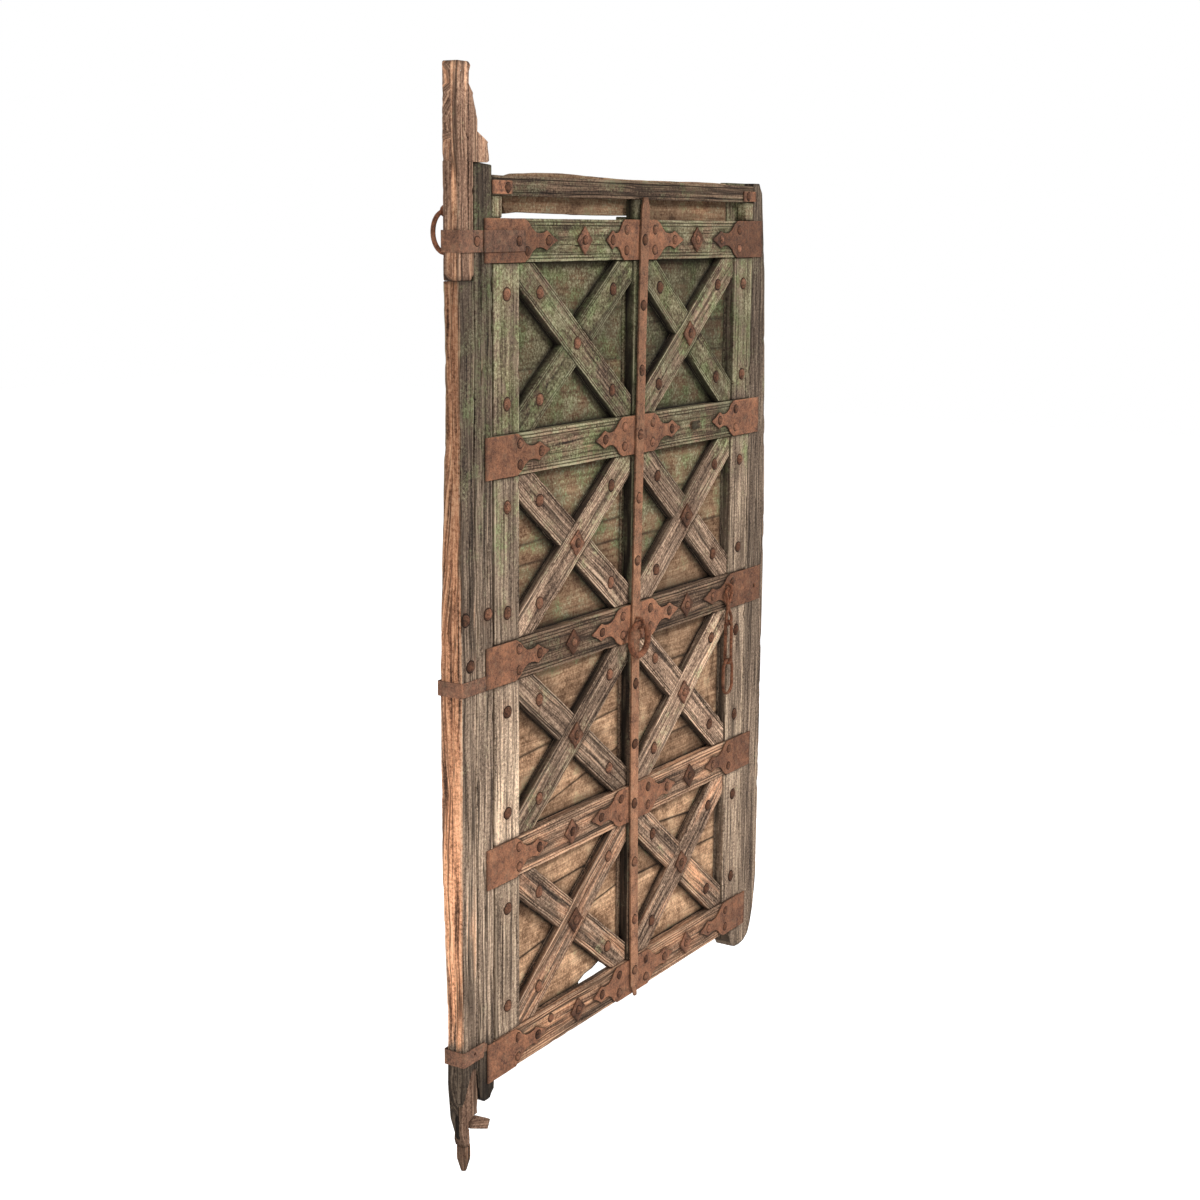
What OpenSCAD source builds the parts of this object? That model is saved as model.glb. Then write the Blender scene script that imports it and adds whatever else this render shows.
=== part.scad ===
// Old pivot-hung door leaf: rebated stiles, lapped rails, saltire bracing over
// plank infill, tied with forged plates. Millimetres, +Z up, front face towards -Y.
// The origin is on the axis of the lower pivot pin, at the middle of its length.

/* [Stiles] */
// Width of the heel post's front face
post_w = 100; // [80:1:130]
// Depth of the stiles, front to back
stile_d = 42; // [38:1:56]
// Thickness of the rails, strips and the rest of the front layer
front_t = 22; // [20:1:28]
// Width of the heel post's rear flange, on which the rails lie
heel_flange_w = 58; // [44:1:70]
// Width of the lock stile's front face
lock_w = 88; // [60:1:120]
// Width of the muntin's front face
muntin_w = 40; // [34:1:60]
// How far the muntin's rear reaches past its front on the left
muntin_ledge_left = 6; // [4:0.5:16]
// How far the muntin's rear reaches past its front on the right
muntin_ledge_right = 12; // [4:0.5:24]
// How far the heel post stands above the header
post_above = 19; // [10:1:40]
// How far the lock stile stands above the header
lock_above = 5; // [2:1:20]
// How far the lock stile's foot reaches below the bottom rail
lock_foot = 50; // [30:1:70]

/* [Rails and strips] */
// Height of a rail
rail_h = 78; // [60:1:96]
// Distance from one rail to the next
rail_pitch = 382; // [340:1:420]
// Height of the bottom rail's lower edge over the origin
rail_base_z = 119; // [100:1:160]
// Clear width of the left bays
left_bay_w = 398; // [340:1:460]
// Clear width of the right bays
right_bay_w = 378; // [320:1:440]
// Width of an upright strip
strip_w = 80; // [60:1:100]
// Gap between the heel post and the left strips
strip_gap = 4; // [1:0.5:8]
// Height of the header
header_h = 36; // [28:1:50]
// Opening between the header and the top rail
header_gap = 38; // [30:1:50]
// Width of the spacer block at the left end of that opening
block_left_w = 30; // [20:1:50]
// Width of the spacer block at the right end of that opening
block_right_w = 35; // [20:1:50]
// Gap left where timbers meet
seam = 0.5; // [0.3:0.1:1.5]
// Length of the slot worn through the second rail
slot_l = 34; // [20:1:60]
// Height of that slot
slot_h = 15; // [8:1:24]

/* [Braces and planks] */
// Width of a brace board
brace_w = 66; // [50:1:80]
// Thickness of a brace board
brace_t = 18; // [14:1:20]
// Thickness of the planks behind the bracing
plank_t = 14; // [8:1:18]
// Gap between a plank's end and the stile beside it
plank_end_gap = 3; // [2:0.5:10]
// Gap between one plank and the next
plank_gap = 0.5; // [0.3:0.1:4]
// Height by which the lowest plank of a row laps the rail below it
plank_foot_lap = 12; // [4:1:24]
// Height by which the top plank of a row laps the rail above it
plank_lap = 20; // [12:1:24]
// Length of the corner split off the lowest left plank
split_l = 140; // [60:5:200]
// Height of that corner
split_h = 26; // [10:1:40]

/* [Pivots] */
// Distance of the pivot axis from the post's outer face
pivot_inset_x = 22; // [18:0.5:26]
// Distance of the pivot axis from the post's front face
pivot_inset_y = 18; // [15:0.5:20]
// Diameter of the lower pivot pin
pin_d = 26; // [20:0.5:28]
// Length of the pin's straight wall
pin_l = 26; // [16:1:40]
// Length of the worn tip below it
tip_l = 26; // [10:1:40]
// Gap between the pin's straight wall and the shoulder of the splint
shoulder_gap = 1; // [0.5:0.5:3]
// How much slimmer than the pin the neck in that gap is
neck_step = 6; // [4:1:10]
// Height of the splint over the origin
splint_h = 160; // [120:1:200]
// Diameter at the end of the worn tip
tip_d = 11; // [6:0.5:16]
// Height of the upper pivot timber above the header
upper_rise = 185; // [120:1:240]
// Length of the lap by which that timber is let into the post
upper_lap = 200; // [120:1:260]
// Width of that lap
upper_lap_w = 46; // [34:1:60]
// Depth of the upper pivot timber
upper_d = 36; // [30:1:38]

/* [Ironwork] */
// Thickness of the plates and bands
plate_t = 3; // [2:0.5:5]
// Height of a plate
plate_h = 78; // [56:1:90]
// Straight length of a plate at the heel post
left_plate_l = 96; // [70:1:120]
// Straight length of a plate at the lock stile
right_plate_l = 115; // [100:1:140]
// Half of a centre plate's straight length
centre_plate_half = 62; // [46:1:80]
// Length of a plate's pointed tongue
tongue_l = 107; // [80:1:130]
// Distance that the left plates lap onto the post
plate_lap = 26; // [12:1:40]
// Width of the centre bar
bar_w = 30; // [20:1:36]
// Thickness of the centre bar
bar_t = 5; // [3:0.5:8]
// Height of the upper band
upper_band_h = 39; // [28:1:50]
// Height of the middle band
middle_band_h = 28; // [20:1:40]
// Height of the lower band
lower_band_h = 30; // [24:1:44]
// How far the upper band reaches past the post
upper_band_lap = 95; // [70:1:130]
// Gap between the lower band's broken end and the plate beside it
lower_band_gap = 2; // [1:0.5:12]

/* [Fasteners] */
// Diameter of a large nail's head
nail_head_d = 22; // [14:0.5:26]
// Height of a large nail's head
nail_head_h = 5; // [3:0.5:7]
// Diameter of a large nail's shank
nail_shank_d = 6; // [4:0.5:8]
// Diameter of a plate nail's head
tack_head_d = 17; // [10:0.5:20]
// Height of a plate nail's head
tack_head_h = 3.5; // [2:0.5:5]
// Diameter of a bar nail's head
bar_head_d = 19; // [12:0.5:22]
// Height of a bar nail's head
bar_head_h = 5.5; // [3:0.5:8]
// Diameter of a plate nail's shank
tack_shank_d = 5; // [3:0.5:6]
// Depth to which a plate nail is driven
tack_l = 17; // [10:1:20]
// Side of a square washer
washer_side = 38; // [28:1:46]
// Thickness of a square washer
washer_t = 4; // [3:0.5:6]
// Diameter of the bolt head on a washer
bolt_head_d = 16; // [12:0.5:22]

/* [Ring and chain] */
// Outer diameter of the ring pull
ring_od = 80; // [60:1:100]
// Diameter of the ring pull's rod
ring_rod_d = 13; // [8:0.5:14]
// Outer diameter of the ring behind the post
rear_ring_od = 80; // [60:1:90]
// Diameter of that ring's rod
rear_rod_d = 9; // [6:0.5:11]
// Diameter of the wire of the staples
staple_d = 6; // [4:0.5:7]
// Diameter of the chain's wire
link_d = 7; // [5:0.5:8]
// Length of the twisted link, between its hinge axes
link_1_pitch = 82; // [60:1:110]
// Length of the turned link, between its hinge axes
link_2_pitch = 80; // [60:1:110]
// Length of the hasp link, from its hinge axis to its lower rod
hasp_l = 76; // [60:1:110]
// Width of the hasp link, between its rods' axes
hasp_w = 40; // [30:1:56]
// Gap between a rod and the eye it turns in
eye_gap = 0.5; // [0.4:0.1:1.5]
// Gap between a hanging rod and what lies behind it
hang_gap = 1; // [0.5:0.1:3]

/* [Hidden] */
$fn = 48;
// Overshoot of a cutting body past the face it cuts
over = 1;
// Numbers of the rails and of the rows of bays, counted from the top
RAILS = [1:5];
ROWS = [1:4];

// Places along X
x_post = -pivot_inset_x;
x_post_right = x_post + post_w;
x_strip = x_post_right + strip_gap;
x_left_bay = x_strip + strip_w;
x_muntin = x_left_bay + left_bay_w;
x_right_bay = x_muntin + muntin_w;
x_right_strip = x_right_bay + right_bay_w;
x_lock = x_right_strip + strip_w;
x_edge = x_lock + lock_w;
x_centre = x_muntin + muntin_w / 2;
x_left_plank_end = x_muntin - muntin_ledge_left - plank_end_gap;
// Drift of the bar to the right at the middle of each rail, counted from the top
bar_drift = [12, 3, -5.5, -4.5, 5];

// Places along Y, from the front plane to the rear
y_front = -pivot_inset_y;
y_mid = y_front + front_t;
y_rear = y_front + stile_d;
y_plate = y_front - plate_t;
y_bar = y_plate - bar_t;
y_brace = y_mid - brace_t;
y_timber_rear = y_front + upper_d;
// Rear of the splint's wide face
y_splint = -4;

// Places along Z
function rail_z(i) = rail_base_z + (5 - i) * rail_pitch;
function rail_mid(i) = rail_z(i) + rail_h / 2;
function bay_floor(r) = rail_z(r + 1) + rail_h;
function bay_mid(r) = (bay_floor(r) + rail_z(r)) / 2;
bay_h = rail_pitch - rail_h;
nail_rise = 0.32 * bay_h;
z_header = rail_z(1) + rail_h + header_gap;
z_top = z_header + header_h;
z_post_top = z_top + post_above;
z_lap = z_post_top - upper_lap;
z_shoulder = pin_l / 2 + shoulder_gap;

// Where things hang
x_bar = x_muntin + bar_w / 2;
x_ring = x_bar + bar_drift[2];
ring_r = (ring_od - ring_rod_d) / 2;
y_ring = y_bar - hang_gap - ring_rod_d / 2;
z_ring = rail_mid(3);
x_chain = x_right_strip - 15;
y_chain = y_plate - hang_gap - 6;
z_chain = rail_mid(3) + 11;
eye_r = link_d / 2 + eye_gap + link_d / 2;
rear_r = (rear_ring_od - rear_rod_d) / 2;
y_rear_ring = y_timber_rear + plate_t + hang_gap + rear_rod_d / 2;
z_rear_ring = z_post_top - 82;

// Heights above each bay's floor at which one plank meets the next
plank_joints = [[112, 214], [134, 218], [64, 150], [160, 246]];
// The upper timber's worn right side over the post: share of its lap's width, and of its height
timber_shape = [[1.91, 0], [2.07, 0.02], [2.02, 0.21], [1.3, 0.31], [1.33, 0.43], [1.17, 0.54],
    [1, 0.66], [1.02, 0.69], [0.76, 0.78], [0.78, 0.9], [0.87, 0.96], [0.76, 1]];
// The post's broken foot: share of the post's width, and of the splint's height over the origin
foot_shape = [[0, 0.49], [0.05, 0.17], [0.1, 0.37], [0.14, 0.61], [0.3, 1.01], [0.5, 0.98],
    [0.53, 0.61], [0.67, 0.54], [0.84, 0.54], [0.9, 0.6], [1, 0.65]];
// What is cut from the post's front there, as the same shares, for the splint's wide face
bed_shape = [[-0.02, 0.12], [-0.02, 0.61], [0.062, 0.71], [0.194, 0.917], [0.3, 1.035],
    [0.49, 1], [0.45, 0.6], [0.2, 0.3], [0.12, 0.12]];
// The splint's outline from its left shoulder round to its right one, as the same shares
splint_shape = [[0.08, 0.17], [0.11, 0.37], [0.15, 0.61], [0.31, 1], [0.49, 0.97],
    [0.52, 0.61], [0.5, 0.55], [0.46, 0.39], [0.28, 0.3]];
// The outline of its wide face in front of the post, notched for the peg
splint_face = [[0.08, 0.17], [0.005, 0.26], [0.005, 0.595], [0.07, 0.7], [0.203, 0.906],
    [0.31, 1.02], [0.49, 0.97], [0.52, 0.61], [0.51, 0.5], [0.525, 0.397], [0.42, 0.43],
    [0.255, 0.392], [0.233, 0.295], [0.27, 0.285]];
// The cross peg's outline, as the same shares
peg_shape = [[0.24, 0.298], [0.26, 0.385], [0.42, 0.425], [0.53, 0.391], [0.88, 0.27],
    [0.79, 0.153]];
// Outline of the bar's broken foot: distance right of its middle there, and height
bar_hook = [[1, 0], [10, 0], [10, 20], [bar_w / 2, 36]];
// Length of the chamfers at the bar's head
bar_chamfer = 22;
// How far each plate at the heel post reaches past its usual length
left_drift = [27, 4, 0, 0, -4];
// How far each plate at the lock stile reaches past its usual length, and its tongue
right_drift = [0, 0, 27, -4, -14];
right_tongue_drift = [0, -12, 13, -10, 0];
// How far the left tongue of each centre plate falls short
centre_drift = [-42, -10, 0, -4, -16];
// The tongue's outline: distance along it and half width, as shares of its length and height
tongue_shape = [[0, 0.5], [0.13, 0.4], [0.22, 0.27], [0.34, 0.18], [0.47, 0.16], [0.58, 0.18],
    [0.67, 0.23], [0.77, 0.155], [0.88, 0.08], [1, 0]];

// Points at the foot of the post, from shares of its width and of the splint's height
function at_foot(shape) = [for (p = shape) [x_post + p[0] * post_w, p[1] * splint_h]];

// A solid whose outline lies in the XZ plane, from depth y0 to depth y1
module upright(outline, y0, y1) {
    translate([0, y1, 0])
        rotate([90, 0, 0])
            linear_extrude(y1 - y0)
                polygon(outline);
}

// A box given by two opposite corners
module block(low, high) {
    translate(low) cube(high - low);
}

// A round bar from the point at, along Y into the wood
module shank(at, d, l) {
    translate(at) rotate([-90, 0, 0]) cylinder(d = d, h = l);
}

// A nail with a domed head on the surface at the point at, facing the front
module domed_nail(at, head_d, head_h, shank_d, l) {
    cap_r = (head_d * head_d / 4 + head_h * head_h) / (2 * head_h);
    translate(at) rotate([90, 0, 0])
        intersection() {
            translate([0, 0, head_h - cap_r]) sphere(r = cap_r);
            cylinder(d = head_d + over, h = head_h + over);
        }
    shank(at, shank_d, l);
}

module wood_nail(x, z, y, l) {
    domed_nail([x, y, z], nail_head_d, nail_head_h, nail_shank_d, l);
}

module tack(x, z, y = y_plate) {
    domed_nail([x, y, z], tack_head_d, tack_head_h, tack_shank_d, tack_l);
}

// A ring in the XZ plane, around the point at
module flat_ring(at, r, rod_d) {
    translate(at) rotate([90, 0, 0])
        rotate_extrude() translate([r, 0]) circle(d = rod_d, $fn = 32);
}

// A half ring in the plane of Z and the turned X, open downwards, around the point at
module bow(at, r, rod_d, turn) {
    translate(at) rotate([0, 0, turn]) rotate([90, 0, 0])
        rotate_extrude(angle = 180) translate([r, 0]) circle(d = rod_d, $fn = 32);
}

// A round rod between two points of the plane of Z and the turned X
module rod(at, from, to, rod_d, turn) {
    run = to - from;
    translate(at) rotate([0, 0, turn]) translate([from[0], 0, from[1]])
        rotate([0, atan2(run[0], run[1]), 0])
            cylinder(d = rod_d, h = norm(run), $fn = 32);
}

// A link hung from the axis at: arcs of radius r at both ends, straight or crossed sides
module link(at, r, pitch, rod_d, turn, top, bottom, cross) {
    upper = -top;
    lower = -pitch + bottom;
    bow(at + [0, 0, upper], r, rod_d, turn);
    translate(at + [0, 0, lower]) mirror([0, 0, 1]) bow([0, 0, 0], r, rod_d, turn);
    for (s = [-1, 1])
        rod(at, [s * r, upper], [s * cross * r, lower], rod_d, turn);
}

// A staple whose bow stands in the YZ plane round the axis at, with legs along +Y or -Y
module staple(at, r, leg_l, way) {
    translate(at) rotate([0, 0, way > 0 ? 0 : 180]) {
        rotate([0, 90, 0]) rotate([0, 0, 180]) rotate_extrude(angle = 180)
            translate([r, 0]) circle(d = staple_d, $fn = 32);
        for (s = [-1, 1])
            translate([0, 0, s * r]) rotate([-90, 0, 0]) cylinder(d = staple_d, h = leg_l, $fn = 32);
    }
}

// The post's outline, with the bed of the splint cut from its front
module post_body() {
    difference() {
        upright(concat(at_foot(foot_shape), [
            [x_post_right, z_post_top - 3], [x_post + 0.62 * post_w, z_post_top],
            [x_post + upper_lap_w + seam, z_post_top - 4],
            [x_post + upper_lap_w + seam, z_lap - seam], [x_post, z_lap - seam]]),
            y_front, y_front + 60);
        upright(at_foot(bed_shape), y_front - over, y_splint + seam);
    }
}

// The post tapers to a broken wedge at its foot, and its rear flange carries the rails
module heel_post() {
    color([0.45, 0.38, 0.31]) {
        intersection() {
            post_body();
            // The rear face is hewn, deepest at mid height
            translate([x_post - over, 0, 0]) rotate([90, 0, 90])
                linear_extrude(post_w + heel_flange_w)
                    polygon([[y_front, 20], [y_front, z_post_top],
                        [y_timber_rear, z_post_top], [y_timber_rear, z_lap],
                        [y_front + 33, z_lap - 210], [y_rear, z_lap - 460],
                        [y_rear + 7, rail_mid(3)], [y_rear + 6, rail_mid(4)],
                        [y_front + 38, rail_mid(5) + 105], [y_front + 40, rail_base_z],
                        [y_front + 36, 70], [y_front + 20, 20]]);
        }
        upright([
            [x_post_right, rail_base_z], [x_post_right + heel_flange_w, rail_base_z + 6],
            [x_post_right + heel_flange_w, z_top - 4], [x_post_right + 30, z_top],
            [x_post_right + 14, z_post_top - 8], [x_post_right, z_post_top - 5]],
            y_mid, y_rear);
    }
}

module upper_pivot_timber() {
    z0 = z_post_top + seam;
    z_end = z_top + upper_rise;
    color([0.62, 0.43, 0.33])
        upright(concat([
            [x_post, z_lap], [x_post + upper_lap_w - 6, z_lap],
            [x_post + upper_lap_w, z_lap + 10], [x_post + upper_lap_w, z0]],
            [for (p = timber_shape) [x_post + p[0] * upper_lap_w, z0 + p[1] * (z_end - z0)]],
            [[x_post, z_end - 1]]),
            y_front, y_timber_rear);
}

module lower_pivot_splint() {
    color([0.58, 0.42, 0.33]) {
        upright(concat([[-pin_d / 2 + 3, z_shoulder]], at_foot(splint_shape),
            [[5, z_shoulder]]), y_splint - seam, pin_d / 2);
        upright(concat([[-pin_d / 2 + 3, z_shoulder]], at_foot(splint_face),
            [[5, z_shoulder]]), -pin_d / 2, y_splint);
        translate([0, 0, -pin_l / 2]) cylinder(d = pin_d, h = pin_l);
        translate([0, 0, pin_l / 2 - over])
            cylinder(d = pin_d - neck_step, h = shoulder_gap + 2 * over);
        translate([0, 0, -pin_l / 2 - tip_l]) cylinder(d1 = tip_d, d2 = pin_d, h = tip_l);
    }
}

// A cross peg driven beside the splint, sloping down and away
module foot_peg() {
    color([0.5, 0.38, 0.31])
        upright(at_foot(peg_shape), y_front + 1, y_splint - 2 * seam);
}

module lock_stile() {
    z_lock = z_top + lock_above;
    z_foot = rail_base_z - lock_foot;
    color([0.46, 0.38, 0.31]) {
        upright([
            [x_lock, z_lock], [x_lock, rail_base_z], [x_lock - 40, rail_base_z - 2],
            [x_lock - 38, z_foot + 24], [x_lock - 28, z_foot + 8], [x_lock - 12, z_foot + 2],
            [x_lock + 6, z_foot], [x_lock + 30, z_foot + 3], [x_lock + 50, z_foot + 15],
            [x_edge - 26, z_foot + 38], [x_edge - 14, z_foot + 76], [x_edge - 4, rail_base_z + 94],
            [x_edge, rail_mid(5) + 90], [x_edge, rail_mid(3) + 150], [x_edge - 14, rail_mid(2) + 80],
            [x_edge - 26, rail_z(1) - 34], [x_edge - 38, rail_mid(1) + 30],
            [x_edge - 46, z_lock - 20], [x_edge - 58, z_lock - 1]], y_front, y_rear);
        upright([
            [x_right_strip, rail_base_z + 4], [x_right_strip + 22, rail_base_z],
            [x_right_strip + 30, rail_base_z - 22], [x_lock - 26, rail_base_z - 30],
            [x_lock - 26, rail_base_z + 12], [x_lock, rail_base_z + 12],
            [x_lock, z_lock], [x_right_strip, z_lock - 1]], y_mid, y_rear);
    }
}

// The muntin passes behind the rails, and its front fills the space between them
module centre_muntin() {
    z_fillet = z_header - seam;
    color([0.3, 0.29, 0.22]) {
        block([x_muntin - muntin_ledge_left, y_mid, rail_base_z + 4],
            [x_right_bay + muntin_ledge_right, y_rear, z_header - header_gap + 5]);
        for (r = ROWS)
            block([x_muntin, y_front, bay_floor(r) + seam],
                [x_right_bay, y_mid, rail_z(r) - seam]);
        block([x_muntin, y_front, rail_z(1) + rail_h + seam], [x_right_bay, y_mid, z_fillet]);
    }
}

module rail_bar(i) {
    block([x_post_right + seam, y_front, rail_z(i)], [x_lock - seam, y_mid, rail_z(i) + rail_h]);
}

module rail(i) {
    color([0.44, 0.42, 0.31]) rail_bar(i);
}

// The second rail has a worn slot clean through it, over the middle of the right bay
module slotted_rail() {
    x_slot = x_right_bay + right_bay_w / 2 + 21;
    color([0.44, 0.42, 0.31])
        difference() {
            rail_bar(2);
            for (s = [-1, 1])
                shank([x_slot + s * (slot_l - slot_h) / 2, y_front - over, rail_mid(2)],
                    slot_h, front_t + 2 * over);
            block([x_slot - (slot_l - slot_h) / 2, y_front - over, rail_mid(2) - slot_h / 2],
                [x_slot + (slot_l - slot_h) / 2, y_mid + over, rail_mid(2) + slot_h / 2]);
        }
}

module header_rail() {
    color([0.36, 0.35, 0.24])
        block([x_post_right + seam, y_front, z_header], [x_lock - seam, y_mid, z_top]);
}

// A split board behind the header, with a ragged foot and a bowed top
module header_back_board() {
    x0 = x_post_right + heel_flange_w + plank_end_gap / 2;
    x1 = x_right_strip - plank_end_gap;
    z_foot = z_header - header_gap + 6;
    x_step = x_right_bay + muntin_ledge_right + plank_end_gap;
    step_h = 12;
    color([0.4, 0.3, 0.22])
        upright([
            [x0, z_foot + 22], [x0 + 14, z_foot], [x0 + 50, z_foot + 3], [x0 + 160, z_foot + 2],
            [x0 + 250, z_foot], [x_step, z_foot], [x_step, z_foot - step_h], [x1, z_foot - step_h],
            [x1, z_top + 4], [x1 - 120, z_top + 5], [x1 - 320, z_top + 3], [x1 - 450, z_top + 4],
            [x0 + 200, z_top + 9], [x0 + 110, z_top + 8], [x0 + 40, z_top + 5], [x0, z_top - 3]],
            y_mid, y_mid + plank_t);
}

module header_blocks() {
    z0 = rail_z(1) + rail_h + seam;
    z1 = z_header - seam;
    color([0.42, 0.38, 0.32]) {
        block([x_post_right + seam, y_front, z0], [x_post_right + block_left_w, y_mid, z1]);
        block([x_lock - block_right_w, y_front, z0], [x_lock - seam, y_mid, z1]);
    }
}

module left_strip(r) {
    color([0.43, 0.44, 0.34])
        block([x_strip, y_front, bay_floor(r) + seam],
            [x_left_bay, y_mid, rail_z(r) - seam]);
}

module right_strip(r) {
    color([0.44, 0.42, 0.35])
        block([x_right_strip, y_front, bay_floor(r) + seam],
            [x_lock - seam, y_mid, rail_z(r) - seam]);
}

function bay_x(side) = side == "left" ? x_left_bay : x_right_bay;
function bay_w(side) = side == "left" ? left_bay_w : right_bay_w;
function bay_mid_x(side) = bay_x(side) + bay_w(side) / 2;
function bay_slope(side) = atan2(bay_h, bay_w(side));

function nail_run(side) = 0.32 * bay_w(side);

// A straight board of width w through the middle of a bay, along its diagonal
module diagonal(side, r, w, y0, y1, way) {
    translate([bay_mid_x(side), y0, bay_mid(r)])
        rotate([0, -way * bay_slope(side), 0])
            translate([-left_bay_w, 0, -w / 2])
                cube([2 * left_bay_w, y1 - y0, w]);
}

// A brace fitted corner to corner in its bay. The two of a bay are halved where they cross:
// the one on top keeps its front, the other its rear.
module brace(side, r, way, on_top) {
    half = y_brace + brace_t / 2;
    color([0.5, 0.46, 0.36])
        difference() {
            intersection() {
                diagonal(side, r, brace_w, y_brace, y_mid, way);
                block([bay_x(side) + seam, y_brace - over, bay_floor(r) + seam],
                    [bay_x(side) + bay_w(side) - seam, y_mid + over, rail_z(r) - seam]);
            }
            diagonal(side, r, brace_w + 2 * seam, on_top ? half : y_brace - over,
                on_top ? y_mid + over : half, -way);
        }
}

// The boards of one bay, one above the other, with their faces against the braces
module bay_planks(x0, x1, r) {
    foot = bay_floor(r);
    joints = plank_joints[r - 1];
    for (k = [0:len(joints)])
        block([x0, y_mid, k == 0 ? foot - plank_foot_lap : foot + joints[k - 1] + plank_gap / 2],
            [x1, y_mid + plank_t,
                k == len(joints) ? rail_z(r) + plank_lap : foot + joints[k] - plank_gap / 2]);
}

// The lowest left plank has lost the corner beside the muntin
module split_corner() {
    z0 = bay_floor(4);
    z_cut = z0 - plank_foot_lap - over;
    x1 = x_left_plank_end + over;
    upright([
        [x1 - split_l, z0], [x1 - split_l, z_cut], [x1, z_cut], [x1, z0 + split_h],
        [x1 - 0.42 * split_l, z0 + 0.92 * split_h], [x1 - 0.64 * split_l, z0 + 0.54 * split_h],
        [x1 - 0.84 * split_l, z0 + 0.4 * split_h]], y_mid - over, y_mid + plank_t + over);
}

module planks_row(r) {
    color([0.56, 0.45, 0.31]) {
        difference() {
            bay_planks(x_post_right + heel_flange_w + plank_end_gap / 2, x_left_plank_end, r);
            if (r == 4)
                split_corner();
        }
        bay_planks(x_right_bay + muntin_ledge_right + plank_end_gap,
            x_right_strip - plank_end_gap, r);
    }
}

// The pointed tongue of a plate, from x towards the way it points
module tongue(x, i, way, l = tongue_l) {
    half = [for (p = tongue_shape) [x + way * p[0] * l, p[1] * plate_h]];
    last = len(half) - 1;
    translate([0, 0, rail_mid(i)])
        upright(concat(half, [for (k = [last - 1:-1:0]) [half[k][0], -half[k][1]]]),
            y_plate, y_front);
}

module plate_body(x0, x1, i) {
    block([x0, y_plate, rail_mid(i) - plate_h / 2], [x1, y_front, rail_mid(i) + plate_h / 2]);
}

module left_plates() {
    x0 = x_post_right - plate_lap;
    color([0.45, 0.26, 0.19]) {
        for (i = RAILS) {
            plate_body(x0, x0 + left_plate_l + left_drift[i - 1], i);
            tongue(x0 + left_plate_l + left_drift[i - 1], i, 1);
        }
        block([x_post_right - 2, y_plate, z_header + 3],
            [x_post_right + 58, y_front, z_header + header_h - 9]);
    }
}

module centre_plates() {
    color([0.45, 0.26, 0.19])
        for (i = RAILS) {
            plate_body(x_centre - centre_plate_half, x_centre + centre_plate_half, i);
            tongue(x_centre - centre_plate_half, i, -1, tongue_l + centre_drift[i - 1]);
            tongue(x_centre + centre_plate_half, i, 1);
        }
}

// The middle plate of the lock stile is longer, and has a square hole for a bolt
module right_plates() {
    x0 = x_right_strip + 4;
    hole = 10;
    color([0.42, 0.26, 0.2]) {
        for (i = [1, 2, 4, 5])
            plate_body(x0, x0 + right_plate_l + right_drift[i - 1], i);
        difference() {
            plate_body(x0, x0 + right_plate_l + right_drift[2], 3);
            block([x0 + right_plate_l - 9, y_plate - over, rail_mid(3) - hole],
                [x0 + right_plate_l - 9 + hole, y_front + over, rail_mid(3)]);
        }
        for (i = RAILS)
            tongue(x0, i, -1, tongue_l + right_tongue_drift[i - 1]);
        block([x_lock - 50, y_plate, z_header + 2],
            [x_lock + 6, y_front, z_header + header_h - 12]);
    }
}

// The bar wavers from rail to rail, and ends in a broken hook below the last one
module centre_bar() {
    z0 = rail_z(5) - 6;
    z1 = z_header + 5;
    top = x_bar + bar_drift[0] + 3;
    low = x_bar + bar_drift[4];
    color([0.46, 0.25, 0.18])
        upright(concat(
            [for (p = bar_hook) [low + p[0], z0 + p[1]]],
            [for (i = [5:-1:1]) [x_bar + bar_drift[i - 1] + bar_w / 2, rail_mid(i)]],
            [[top + bar_w / 2, z1 - bar_chamfer], [top + bar_w / 4, z1],
                [top - bar_w / 4, z1], [top - bar_w / 2, z1 - bar_chamfer]],
            [for (i = RAILS) [x_bar + bar_drift[i - 1] - bar_w / 2, rail_mid(i)]],
            [[low - bar_w / 2, z0 + 30]]),
            y_bar, y_plate);
}

// A band round the post: a leg on the front, one across the outer face, one behind
module band(z, h, d, front_l, rear_l) {
    block([x_post - plate_t, y_plate, z], [x_post, y_front + d + plate_t, z + h]);
    block([x_post - plate_t, y_plate, z], [x_post + front_l, y_front, z + h]);
    block([x_post - plate_t, y_front + d, z], [x_post + rear_l, y_front + d + plate_t, z + h]);
}

// The upper band steps over the top plate
module upper_band() {
    z = rail_mid(1) - upper_band_h / 2 - 1;
    color([0.4, 0.33, 0.24]) {
        band(z, upper_band_h, upper_d, post_w - plate_lap - seam, post_w);
        block([x_post_right - plate_lap - 6, y_plate - plate_t, z],
            [x_post_right + upper_band_lap, y_plate, z + upper_band_h]);
    }
}

module middle_band() {
    color([0.42, 0.25, 0.19])
        band(rail_z(3), middle_band_h, stile_d + 8.5, post_w - plate_lap - seam, post_w);
}

module lower_band() {
    color([0.5, 0.32, 0.24])
        band(rail_mid(5) + 21, lower_band_h, stile_d, post_w - plate_lap - lower_band_gap, post_w);
}

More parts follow.
